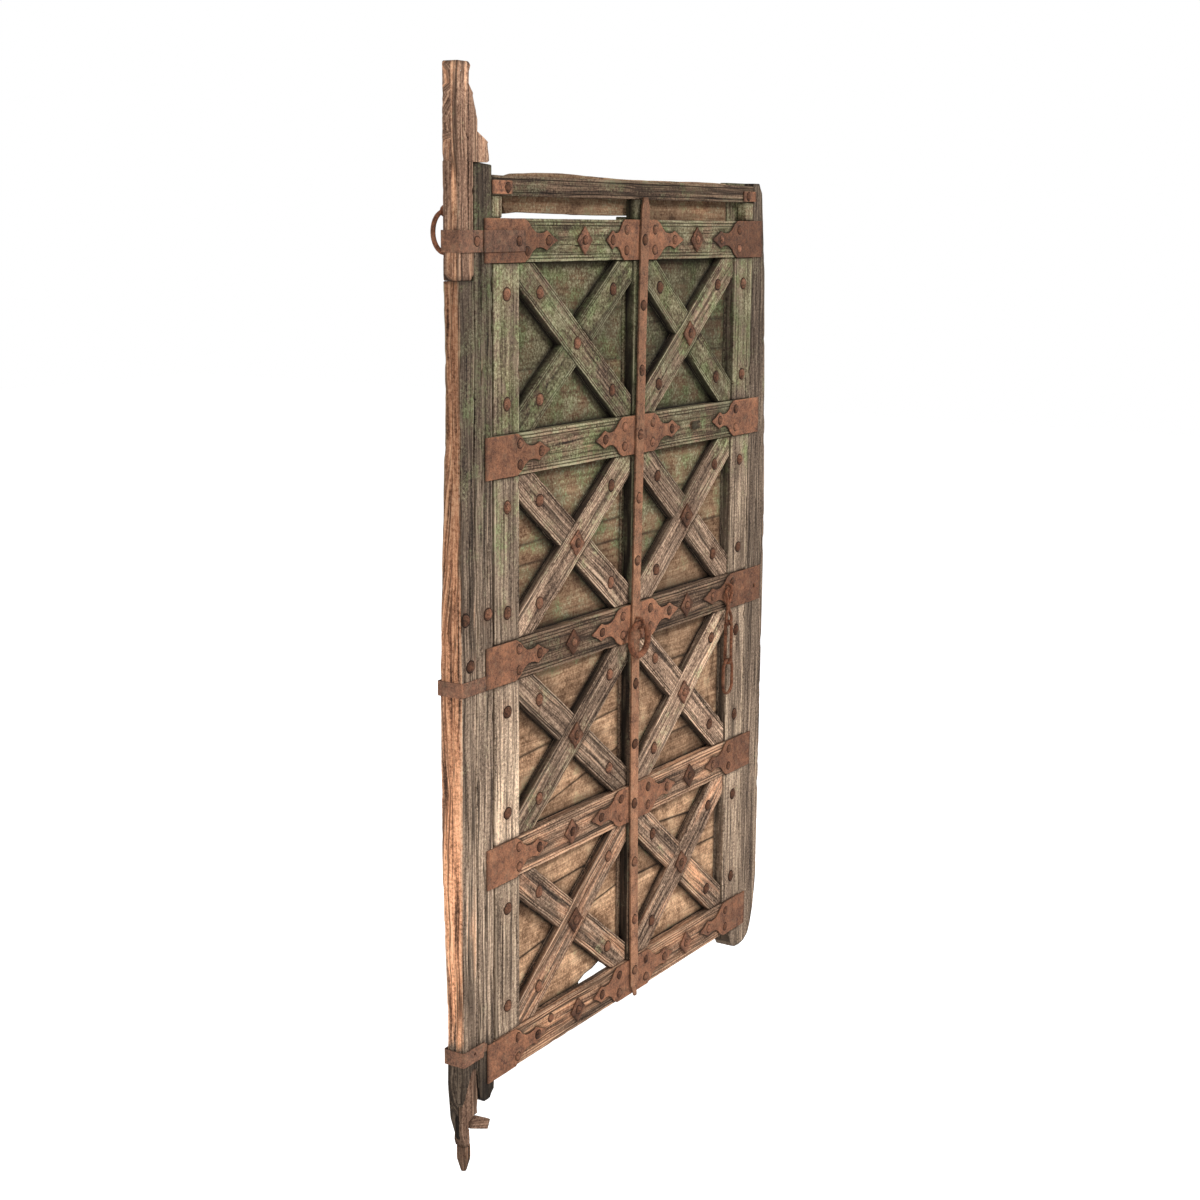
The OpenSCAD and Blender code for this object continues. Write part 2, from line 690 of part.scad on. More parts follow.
// Two large nails in each strip and one in each end of each brace, at the same heights
module wood_nails() {
    strip_nail_l = front_t + plank_t + 2;
    brace_nail_l = brace_t + plank_t + 2;
    x_left = x_strip + strip_w / 2;
    x_right = x_right_strip + strip_w / 2;
    color([0.5, 0.28, 0.2]) {
        for (r = ROWS, s = [-1, 1]) {
            z = bay_mid(r) + s * nail_rise;
            wood_nail(x_left, z, y_front, strip_nail_l);
            wood_nail(x_right, z, y_front, strip_nail_l);
            for (side = ["left", "right"], t = [-1, 1])
                wood_nail(bay_mid_x(side) + t * nail_run(side), z, y_brace, brace_nail_l);
        }
        for (x = [x_post + 15, x_post + 84])
            wood_nail(x, rail_z(3) + rail_h + 62, y_front, strip_nail_l);
        wood_nail(x_post + 28, rail_mid(3) + 14, y_front, strip_nail_l);
        wood_nail(bay_mid_x("left"), bay_mid(1), y_brace, brace_nail_l);
    }
}

// Two nails by the shoulders and one in the tongue of every plate
module plate_nails() {
    behind = 8;
    x_right = x_right_strip + 4;
    in_tongue = 0.66;
    spread = plate_h / 4;
    color([0.48, 0.28, 0.2]) {
        for (i = RAILS) {
            x_left = x_post_right - plate_lap + left_plate_l + left_drift[i - 1];
            centre_l = tongue_l + centre_drift[i - 1];
            right_l = tongue_l + right_tongue_drift[i - 1];
            for (s = [-1, 1]) {
                if (i > 1 || s < 0)
                    tack(x_left + behind, rail_mid(i) + s * spread);
                tack(x_right + behind, rail_mid(i) + s * spread);
                for (t = [-1, 1])
                    tack(x_centre + t * (centre_plate_half - behind), rail_mid(i) + s * spread);
            }
            tack(x_centre - centre_plate_half - in_tongue * centre_l, rail_mid(i));
            tack(x_centre + centre_plate_half + in_tongue * tongue_l, rail_mid(i));
            tack(x_left + (in_tongue + 0.06) * tongue_l, rail_mid(i));
            tack(x_right - in_tongue * right_l, rail_mid(i));
        }
        for (x = [x_post + post_w / 2, x_post_right + upper_band_lap - 20])
            tack(x, rail_mid(1) - 1, x > x_post_right ? y_plate - plate_t : y_plate);
        tack(x_post_right + 44, z_header + 15);
        tack(x_lock - 30, z_header + 13);
        // One loose nail stands in the bottom rail
        tack(x_post_right + 192, rail_mid(5) + 16, y_front);
    }
}

// The bar is nailed three times to each rail pitch
module bar_nails() {
    step = rail_pitch / 3;
    color([0.44, 0.26, 0.19])
        for (k = [0:12])
            if (k != 6) {
                below = 4 - floor(k / 3);
                above = max(below - 1, 0);
                share = (k % 3) / 3;
                x = x_bar + (1 - share) * bar_drift[below] + share * bar_drift[above];
                domed_nail([x, y_bar, rail_mid(5) + k * step + (k == 0 ? 14 : 0)],
                    bar_head_d, bar_head_h, tack_shank_d, tack_l + bar_t);
            }
}

// How far each rail's washer stands to the right of its bay's middle
function washer_drift(side) = side == "left" ? [14, 0, -18, -20, 5] : [17, 0, -1, 23, 19];

// A square washer and its bolt, turned by the angle a
module washer(x, z, y, a, l) {
    translate([x, y, z]) rotate([0, a, 0])
        translate([-washer_side / 2, -washer_t, -washer_side / 2])
            cube([washer_side, washer_t, washer_side]);
    domed_nail([x, y - washer_t, z], bolt_head_d, tack_head_h + 1, nail_shank_d, l);
}

module square_washers() {
    rail_bolt_l = front_t + washer_t - 1;
    brace_bolt_l = brace_t + plank_t + washer_t + 2;
    color([0.47, 0.27, 0.19]) {
        for (i = [1, 3, 4, 5], side = ["left", "right"])
            washer(bay_mid_x(side) + washer_drift(side)[i - 1], rail_mid(i), y_front, 45,
                rail_bolt_l);
        for (r = [2, 3, 4])
            washer(bay_mid_x("left"), bay_mid(r), y_brace, -bay_slope("left"), brace_bolt_l);
        for (r = ROWS)
            washer(bay_mid_x("right"), bay_mid(r), y_brace, 45, brace_bolt_l);
    }
}

module ring_staple() {
    r = ring_rod_d / 2 + eye_gap + staple_d / 2;
    color([0.4, 0.23, 0.17])
        staple([x_ring, y_ring, z_ring], r, y_front + 12 - y_ring, 1);
}

// The staple of the chain, and the one that carries the ring behind the post
module chain_staple() {
    rear_eye = rear_rod_d / 2 + eye_gap + staple_d / 2;
    color([0.4, 0.23, 0.17]) {
        staple([x_chain, y_chain, z_chain], link_d / 2 + eye_gap + staple_d / 2,
            y_front + 14 - y_chain, 1);
        staple([0, y_rear_ring, z_rear_ring], rear_eye, y_rear_ring - y_timber_rear + 16, -1);
    }
}

module ring_pull() {
    color([0.47, 0.27, 0.2])
        flat_ring([x_ring, y_ring, z_ring - ring_r], ring_r, ring_rod_d);
}

module rear_ring() {
    color([0.36, 0.25, 0.2])
        flat_ring([0, y_rear_ring, z_rear_ring - rear_r], rear_r, rear_rod_d);
}

// The upper link is twisted into an eight
module chain_link_1() {
    loop_r = 13;
    color([0.5, 0.3, 0.22])
        link([x_chain, y_chain, z_chain], loop_r, link_1_pitch, link_d, 0, loop_r, loop_r, -1);
}

// The next one is turned a quarter, and its arcs go round the rods it joins
module chain_link_2() {
    color([0.46, 0.28, 0.21])
        link([x_chain, y_chain, z_chain - link_1_pitch], eye_r, link_2_pitch, link_d, 90, 0, 0, 1);
}

module hasp_link() {
    r = hasp_w / 2;
    color([0.45, 0.25, 0.18])
        link([x_chain, y_chain, z_chain - link_1_pitch - link_2_pitch], r, hasp_l, link_d, 0, r, r, 1);
}

heel_post();
upper_pivot_timber();
lower_pivot_splint();
foot_peg();
lock_stile();
centre_muntin();
header_rail();
header_back_board();
header_blocks();
rail(1);  // rail_1
slotted_rail();  // rail_2
rail(3);  // rail_3
rail(4);  // rail_4
rail(5);  // rail_5
left_strip(1);  // left_strip_1
left_strip(2);  // left_strip_2
left_strip(3);  // left_strip_3
left_strip(4);  // left_strip_4
right_strip(1);  // right_strip_1
right_strip(2);  // right_strip_2
right_strip(3);  // right_strip_3
right_strip(4);  // right_strip_4
brace("left", 1, 1, false);  // rising_brace_left_1
brace("left", 2, 1, true);  // rising_brace_left_2
brace("left", 3, 1, true);  // rising_brace_left_3
brace("left", 4, 1, true);  // rising_brace_left_4
brace("left", 1, -1, true);  // falling_brace_left_1
brace("left", 2, -1, false);  // falling_brace_left_2
brace("left", 3, -1, false);  // falling_brace_left_3
brace("left", 4, -1, false);  // falling_brace_left_4
brace("right", 1, 1, true);  // rising_brace_right_1
brace("right", 2, 1, true);  // rising_brace_right_2
brace("right", 3, 1, true);  // rising_brace_right_3
brace("right", 4, 1, true);  // rising_brace_right_4
brace("right", 1, -1, false);  // falling_brace_right_1
brace("right", 2, -1, false);  // falling_brace_right_2
brace("right", 3, -1, false);  // falling_brace_right_3
brace("right", 4, -1, false);  // falling_brace_right_4
planks_row(1);  // planks_row_1
planks_row(2);  // planks_row_2
planks_row(3);  // planks_row_3
planks_row(4);  // planks_row_4
left_plates();
centre_plates();
right_plates();
centre_bar();
upper_band();
middle_band();
lower_band();
wood_nails();
plate_nails();
bar_nails();
square_washers();
ring_staple();
chain_staple();
ring_pull();
chain_link_1();
chain_link_2();
hasp_link();
rear_ring();
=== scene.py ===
"""A braced door leaf with forged ironwork, dressed over its CAD frame.

Lengths in this script are millimetres until a mesh is written; the scene is in metres.
X runs from the heel post to the lock stile, the front faces -Y and Z is up.
"""
import logging
import math
from dataclasses import dataclass, field, replace
from enum import Enum
from typing import Callable, Optional, Sequence, Union

import bpy
import numpy as np
from mathutils import Matrix, Vector


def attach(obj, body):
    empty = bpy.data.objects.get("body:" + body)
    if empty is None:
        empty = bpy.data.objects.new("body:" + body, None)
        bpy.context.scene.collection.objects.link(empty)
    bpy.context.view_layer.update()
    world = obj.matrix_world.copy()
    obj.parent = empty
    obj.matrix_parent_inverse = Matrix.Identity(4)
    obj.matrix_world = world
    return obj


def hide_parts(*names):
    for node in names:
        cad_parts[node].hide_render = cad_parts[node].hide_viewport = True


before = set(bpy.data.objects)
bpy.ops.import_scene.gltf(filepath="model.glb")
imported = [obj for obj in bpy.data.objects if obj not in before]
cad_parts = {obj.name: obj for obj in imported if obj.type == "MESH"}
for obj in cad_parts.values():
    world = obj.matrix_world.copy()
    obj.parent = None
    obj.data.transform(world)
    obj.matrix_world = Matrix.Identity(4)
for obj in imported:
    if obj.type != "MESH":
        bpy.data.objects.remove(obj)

log = logging.getLogger("door_leaf")

MM = 0.001
CREASE, ROUND_CREASE = 38.0, 50.0
Array = np.ndarray
Pair = tuple[float, float]
Knots = Sequence[Pair]
Place3 = tuple[float, float, float]
Place = Callable[[Array, Array, Array], Array]
Colour = tuple[float, float, float, float]
Socket = bpy.types.NodeSocket
Value = Union[Socket, float]
WHITE: Colour = (1.0, 1.0, 1.0, 1.0)


# ---------------------------------------------------------------- sizes of the leaf

POST_LEFT, POST_RIGHT, HEEL_FLANGE = -22.0, 78.0, 136.0
STRIP_LEFT, BAY_LEFT, MUNTIN_LEFT, MUNTIN_RIGHT = 82.0, 162.0, 560.0, 600.0
STRIP_RIGHT, LOCK_LEFT = 978.0, 1058.0
FRONT, MIDDLE, REAR, PLANK_REAR = -18.0, 4.0, 24.0, 18.0
BRACE_FRONT, PLATE_FRONT, BAR_FRONT = -14.0, -21.0, -26.0
RAIL_FOOT, RAIL_PITCH, RAIL_HEIGHT = 119.0, 382.0, 78.0
HEADER_FOOT, HEADER_TOP, POST_TOP, LAP_FOOT, TIMBER_TOP = 1763.0, 1799.0, 1818.0, 1618.0, 1984.0
TIMBER_REAR = 18.0
SEAM = 0.5
BAY_HEIGHT = RAIL_PITCH - RAIL_HEIGHT
BRACE_WIDTH = 66.0
PLATE_HALF = 39.0
BAR_CENTRE, BAR_WIDTH, RING_X = 575.0, 30.0, 569.5
BAR_DRIFT = (12.0, 3.0, -5.5, -4.5, 5.0)
CHAIN_X, CHAIN_Y, CHAIN_Z = 963.0, -28.0, 933.0
LINK_1_PITCH, LINK_2_PITCH, HASP_LENGTH = 82.0, 80.0, 76.0
PLANKS_LEFT, PLANKS_RIGHT = (137.5, 551.0), (615.0, 975.0)
# reaches in mm of the painted contact shade round the plates and next to rails, strips and braces
RIM_SHADE, CORNER_SHADE = 4.5, 3.5


class Side(Enum):
    """The two bays of a row."""

    LEFT = "left"
    RIGHT = "right"

    @property
    def reach(self) -> Pair:
        """Left and right limits of the bay along X."""
        if self is Side.LEFT:
            return BAY_LEFT, MUNTIN_LEFT
        return MUNTIN_RIGHT, STRIP_RIGHT

    @property
    def slope(self) -> float:
        """Angle of the bay's diagonal, in radians."""
        x0, x1 = self.reach
        return math.atan2(BAY_HEIGHT, x1 - x0)


class Way(Enum):
    """Whether a brace rises or falls from left to right."""

    RISING = 1
    FALLING = -1


def rail_foot(number: int) -> float:
    """Height of a rail's lower edge; rails are counted from the top."""
    return RAIL_FOOT + (5 - number) * RAIL_PITCH


def rail_middle(number: int) -> float:
    """Height of a rail's middle."""
    return rail_foot(number) + RAIL_HEIGHT / 2


def bay_floor(row: int) -> float:
    """Height of the floor of a row of bays."""
    return rail_foot(row + 1) + RAIL_HEIGHT


def bay_middle(row: int) -> float:
    """Height of the middle of a row of bays."""
    return bay_floor(row) + BAY_HEIGHT / 2


# ---------------------------------------------------------------- noise


def lattice(ix: Array, iy: Array, seed: int) -> Array:
    """Hash of whole lattice steps, a repeatable number from 0 to 1 for each.

    Args:
        ix, iy: whole steps of the lattice.
        seed: picks one of many patterns.
    Returns:
        An array of the same shape.
    """
    h = (ix.astype(np.int64) * 374761393 + iy.astype(np.int64) * 668265263 + seed * 974711) & 0xFFFFFFFF
    h = ((h ^ (h >> 13)) * 1274126177) & 0xFFFFFFFF
    return ((h ^ (h >> 16)) & 0xFFFF) / 65535.0


def soft_noise(x: Array, y: Array, seed: int) -> Array:
    """Smooth noise from -1 to 1: lattice numbers mixed with the weight 3f^2 - 2f^3.

    Args:
        x, y: coordinates in lattice steps.
        seed: picks the pattern.
    Returns:
        The noise at each point.
    """
    x, y = np.broadcast_arrays(np.asarray(x, float), np.asarray(y, float))
    ix, iy = np.floor(x), np.floor(y)
    fx, fy = x - ix, y - iy
    fx, fy = fx * fx * (3 - 2 * fx), fy * fy * (3 - 2 * fy)
    a, b = lattice(ix, iy, seed), lattice(ix + 1, iy, seed)
    c, d = lattice(ix, iy + 1, seed), lattice(ix + 1, iy + 1, seed)
    return 2 * ((a * (1 - fx) + b * fx) * (1 - fy) + (c * (1 - fx) + d * fx) * fy) - 1


def layered_noise(x: Array, y: Array, seed: int, layers: int = 3) -> Array:
    """Sum of soft noise at doubled steps and halved heights, about -1 to 1.

    Args:
        x, y: coordinates in lattice steps.
        seed: picks the pattern.
        layers: number of steps added up.
    Returns:
        The noise at each point.
    """
    total = sum(soft_noise(x * 2**k, y * 2**k, seed + 17 * k) / 2**k for k in range(layers))
    return total / (2 - 2 ** (1 - layers))


def ramp(value: Array, start: float, stop: float) -> Array:
    """0 before start, 1 after stop and a smooth rise between them."""
    x = np.clip((value - start) / (stop - start), 0, 1)
    return x * x * (3 - 2 * x)

# ---------------------------------------------------------------- surfaces


@dataclass
class Curve:
    """A broken line y(x) through knots, level beyond its ends."""

    knots: Sequence[Pair]

    def __call__(self, x: Array) -> Array:
        """Value at each x."""
        k = np.array(self.knots, float)
        return np.interp(x, k[:, 0], k[:, 1])

    @property
    def places(self) -> list[float]:
        """The x of every knot."""
        return [float(k[0]) for k in self.knots]


def level(value: float) -> Curve:
    """A curve with one value everywhere."""
    return Curve([(0.0, value)])


Shape = Union[Curve, Knots, float]


def as_curve(shape: Shape) -> Curve:
    """A number or a list of knots as a curve; a number's has one value everywhere."""
    if isinstance(shape, Curve):
        return shape
    return Curve(shape) if np.ndim(shape) else Curve([(0.0, shape)])


@dataclass
class Surface:
    """Part of a mesh: points in mm, faces, UV for each face corner, and marks for each point."""

    points: Array
    quads: Array
    triangles: Array
    quad_uv: Array
    triangle_uv: Array
    marks: dict[str, Array]

    def turned_out(self) -> "Surface":
        """The same surface with its faces outwards: a closed one has a positive volume."""
        fans = np.concatenate([self.quads[:, [0, 1, 2]], self.quads[:, [0, 2, 3]], self.triangles])
        p = self.points - self.points.mean(0)
        volume = np.einsum("ij,ij->i", p[fans[:, 0]], np.cross(p[fans[:, 1]], p[fans[:, 2]])).sum()
        if volume >= 0:
            return self
        return replace(
            self,
            quads=self.quads[:, ::-1],
            triangles=self.triangles[:, ::-1],
            quad_uv=self.quad_uv[:, ::-1],
            triangle_uv=self.triangle_uv[:, ::-1],
        )


# grime_and_shade holds dirt together with painted shade
MARKS = ("wear", "grime_and_shade", "moss", "stain", "tone", "raw")


def joined(parts: Sequence[Surface]) -> Surface:
    """Several surfaces as one.

    Args:
        parts: surfaces, each closed in itself.
    Returns:
        One surface with every part turned outwards.
    """
    parts = [p.turned_out() for p in parts]
    shift = np.cumsum([0] + [len(p.points) for p in parts])
    return Surface(
        np.concatenate([p.points for p in parts]),
        np.concatenate([p.quads + n for p, n in zip(parts, shift)]),
        np.concatenate([p.triangles + n for p, n in zip(parts, shift)]),
        np.concatenate([p.quad_uv for p in parts]),
        np.concatenate([p.triangle_uv for p in parts]),
        {
            m: np.concatenate([p.marks.get(m, np.zeros(len(p.points))) for p in parts])
            for m in MARKS
        },
    )


def ring_faces(rows: int, count: int) -> Array:
    """Quads between neighbouring rings of a grid of rings, each closed on itself.

    Args:
        rows: number of rings.
        count: points in a ring.
    Returns:
        Quads as point numbers.
    """
    i, j = np.meshgrid(np.arange(rows - 1) * count, np.arange(count), indexing="ij")
    k = (j + 1) % count
    return np.stack([i + j, i + k, i + count + k, i + count + j], -1).reshape(-1, 4)


def pole_faces(rows: int, count: int) -> Array:
    """Triangles that close the first and the last ring to a pole beyond each.

    Args:
        rows: number of rings.
        count: points in a ring; the two poles come after the last ring.
    Returns:
        Triangles as point numbers.
    """
    j = np.arange(count)
    k = (j + 1) % count
    pole, last = rows * count, (rows - 1) * count
    return np.concatenate([
        np.stack([k, j, np.full(count, pole)], -1),
        np.stack([last + j, last + k, np.full(count, pole + 1)], -1),
    ])


def ring_uv(u: Array, v: Array) -> Array:
    """UV of the corners of the faces from ring_faces.

    Args:
        u: place along the rings' path, for each row and column.
        v: place round the ring, with one more column than there are points, for the way back.
    Returns:
        UV for each quad's corners, in metres.
    """
    wide = np.concatenate([u, u[:, :1]], 1)
    uv = np.stack([wide, v], -1) * MM
    return np.stack([uv[:-1, :-1], uv[:-1, 1:], uv[1:, 1:], uv[1:, :-1]], 2).reshape(-1, 4, 2)


def mesh_from(name: str, surface: Surface, crease: float = CREASE) -> bpy.types.Object:
    """Writes a surface into a new object at the origin.

    Args:
        name: the object's name.
        surface: what to write, in mm.
        crease: angle in degrees beyond which an edge is sharp.
    Returns:
        The object, linked to the scene.
    """
    mesh = bpy.data.meshes.new(name)
    mesh.from_pydata(
        (surface.points * MM).tolist(), [], surface.quads.tolist() + surface.triangles.tolist()
    )
    layer = mesh.uv_layers.new(name="grain")
    uv = np.concatenate([surface.quad_uv.reshape(-1, 2), surface.triangle_uv.reshape(-1, 2)])
    layer.data.foreach_set("uv", uv.astype(np.float32).ravel())
    for mark in MARKS:
        made = mesh.attributes.new(mark, "FLOAT", "POINT")
        made.data.foreach_set("value", surface.marks[mark].astype(np.float32))
    mesh.polygons.foreach_set("use_smooth", np.ones(len(mesh.polygons), bool))
    mesh.set_sharp_from_angle(angle=math.radians(crease))
    mesh.update()
    return added(name, mesh)


def added(name: str, data: bpy.types.ID) -> bpy.types.Object:
    """A new object with its data, linked to the scene."""
    made = bpy.data.objects.new(name, data)
    bpy.context.scene.collection.objects.link(made)
    return made


def prism(outline: Array, depths: Sequence[float], grow: Sequence[float], grime_and_shade: float) -> Surface:
    """A closed body with one outline in XZ, a little wider at some depths than at others.

    Args:
        outline: X and Z of its corners, all of them in sight from their mean.
        depths: Y of each ring.
        grow: by how much each ring is wider.
        grime_and_shade: mark of its surface; a cut leaves it on the walls of the hole as dirt and painted
            shade.
    Returns:
        The body.
    """
    count, rows = len(outline), len(depths)
    middle = outline.mean(0)
    way = outline - middle
    way /= np.linalg.norm(way, axis=1, keepdims=True)
    rings = [np.stack([edge[:, 0], np.full(count, y), edge[:, 1]], -1)
             for y, edge in ((y, outline + g * way) for y, g in zip(depths, grow))]
    poles = np.array([[middle[0], y, middle[1]] for y in (depths[0], depths[-1])])
    points = np.concatenate(rings + [poles])
    quads, triangles = ring_faces(rows, count), pole_faces(rows, count)
    return Surface(points, quads, triangles, np.zeros((len(quads), 4, 2)),
                   np.zeros((len(triangles), 3, 2)), {"grime_and_shade": np.full(len(points), grime_and_shade)})


def round_hole(x: float, z: float, radius: Array, reach: float, angle: Array) -> Array:
    """X and Z of a stadium's outline: two half circles whose centres lie reach to either side."""
    return np.stack([x + reach * np.sign(np.cos(angle)) + radius * np.cos(angle),
                     z + radius * np.sin(angle)], -1)


def carve(piece: bpy.types.Object, cutter: Surface) -> None:
    """Takes a body away from a piece's mesh.

    Args:
        piece: the object to cut.
        cutter: the body.
    """
    tool = mesh_from("cutter", joined([cutter]))
    cut = piece.modifiers.new("cut", "BOOLEAN")
    cut.operation, cut.object, cut.solver = "DIFFERENCE", tool, "EXACT"
    bpy.context.view_layer.update()
    made = bpy.data.meshes.new_from_object(
        piece.evaluated_get(bpy.context.evaluated_depsgraph_get()))
    made.set_sharp_from_angle(angle=math.radians(CREASE))
    piece.modifiers.clear()
    piece.data = made
    bpy.data.objects.remove(tool)


def within(x: Array, z: Array, outline: Sequence[Pair]) -> Array:
    """Whether points lie in an outline: a line to the right crosses it an odd number of times."""
    inside = np.zeros(np.broadcast(x, z).shape, bool)
    for (x0, z0), (x1, z1) in zip(outline, list(outline[1:]) + [outline[0]]):
        if z0 != z1:
            inside ^= ((z0 > z) != (z1 > z)) & (x < x0 + (z - z0) * (x1 - x0) / (z1 - z0))
    return inside


def ring_angles(count: int) -> Array:
    """Even angles round a circle, in radians, half a step from its start."""
    return (np.arange(count) + 0.5) * 2 * math.pi / count

# ---------------------------------------------------------------- marks that weather leaves


@dataclass(frozen=True)
class Weather:
    """How a board has aged, with the light and shade painted on it.

    tone makes it lighter or darker, side_tone_and_light does so on its low side alone, partly as
    painted light on that side, tone_rise from the leaf's middle upwards and tone_across from the
    bar to the left; moss adds to the old paint that thickens with height, raw bares the wood under
    the grey, side_dirt_and_shade darkens the sides towards the back with dirt and painted shade,
    dark_edge the corners and wet_foot the end that stood in the damp, and edge_loss is how much
    the corners have chipped.
    """

    tone: float = 0.0
    moss: float = 0.0
    raw: float = 0.0
    raw_low_side: float = 0.0
    grime_and_shade: float = 0.0
    side_dirt_and_shade: float = 0.0
    side_tone_and_light: float = 0.0
    tone_rise: float = 0.0
    tone_across: float = 0.0
    dark_edge: float = 0.0
    wet_foot: float = 0.0
    edge_loss: float = 1.8
    ridge: float = 0.45
    hollow: float = 0.7


MOSS_FOOT, MOSS_HEAD, MOSS_MOST = 720.0, 1400.0, 0.62


def moss_at(z: Array, x: Array) -> Array:
    """Share of green growth at a height: a smooth rise over the leaf's upper half."""
    drift = 130 * layered_noise(x / 260, z / 300, 91, 2)
    return MOSS_MOST * ramp(z + drift, MOSS_FOOT, MOSS_HEAD)


NAIL_PLACES: list[tuple[float, float, float]] = []


def rust_run(x: Array, z: Array) -> Array:
    """Rust that has bled round and below each nail.

    Args:
        x, z: places on the front.
    Returns:
        0 to 1: a ring round the head, and a tail that thins downwards.
    """
    total = np.zeros_like(x)
    for nx, nz, r in NAIL_PLACES:
        dx, dz = (x - nx) / r, (z - nz) / r
        halo = np.exp(-(dx**2 + dz**2) / 2.6)
        tail = np.exp(-(dx**2) / 0.7) * ramp(-dz, 0, 0.6) * np.exp(dz / 3.2 * (dz < 0))
        total = np.maximum(total, np.maximum(halo, 0.6 * tail * (dz < 0)))
    return total


# ---------------------------------------------------------------- boards


@dataclass(frozen=True)
class Pattern:
    """Noise on a board: its lengths along and across the grain, its own seed and its layers."""

    along: float
    across: float
    shift: int
    layers: int = 2

    def __call__(self, s: Array, v: Array, seed: int) -> Array:
        """The noise at places along the grain and round the board."""
        return layered_noise(s / self.along, v / self.across, seed + self.shift, self.layers)


GRAIN, HOLLOWS, CHIPS = Pattern(95, 3.1, 0), Pattern(150, 24, 31), Pattern(26, 9, 47)
LOST_REEDS, PATCHES = Pattern(120, 30, 77), Pattern(110, 22, 101, 3)
WANDER, LOW_WAVER, HIGH_WAVER = Pattern(45, 1, 63), Pattern(70, 1, 5, 3), Pattern(70, 1, 9, 3)
MID_LINE = 0.5
NARROW, WIDE = 12.0, 40.0
SIDE_SHARES = (0.43, 0.25, 0.1, 0.0)
NEAR, BEVEL = 1e-6, 0.7
UV_STEP_S, UV_STEP_V, CAP_SQUEEZE = 37.0, 53.0, 0.35
TONE_MIDDLE, TONE_LEAST, TONE_HEIGHT, TONE_REACH = 900.0, -300.0, 800.0, 400.0


@dataclass
class Section:
    """The points round a board's section: its front half, which is mirrored behind it.

    A point lies off from the low edge plus its share of the width between the margins, and
    inset behind the front plus its through share of the depth between the rounded corners.
    """

    off: Array
    share: Array
    inset: Array
    through: Array
    margin: float
    radius: float

    def __post_init__(self) -> None:
        """Works out the side that each point is on and the inward normal there, in t and d."""
        rounded = self.inset > 0
        self.on_low = (self.off < self.margin) & (self.share == 0) & rounded
        self.on_high = (self.share == 1) & rounded
        bend = rounded & (self.inset < self.radius - NEAR)
        normal_t = np.where(self.on_low, 1.0, np.where(self.on_high, -1.0, 0.0))
        normal_t = np.where(bend, normal_t * BEVEL, normal_t)
        normal_d = np.where(rounded, np.where(bend, BEVEL, 0.0), 1.0)
        self.normal_t = np.concatenate([normal_t, normal_t[::-1]])
        self.normal_d = np.concatenate([normal_d, -normal_d[::-1]])
        corner = bend | self._at([self.radius]) | (self.through == 0) & rounded
        self.corner = np.concatenate([corner, corner[::-1]])[None].astype(float)

    def _at(self, places: Sequence[float]) -> Array:
        """Whether a point of the front half lies one of these distances in from either edge."""
        hit = np.zeros(len(self.off), bool)
        for p in places:
            hit |= (np.abs(self.off - p) < NEAR) & (self.share == 0)
            hit |= (np.abs(self.off - (2 * self.margin - p)) < NEAR) & (self.share == 1)
        return hit

    def lines(self, places: Sequence[float]) -> Array:
        """1 at the points of the front these distances in from either edge, 0 elsewhere."""
        hit = self._at(places)
        return np.concatenate([hit, np.zeros_like(hit)])[None].astype(float)


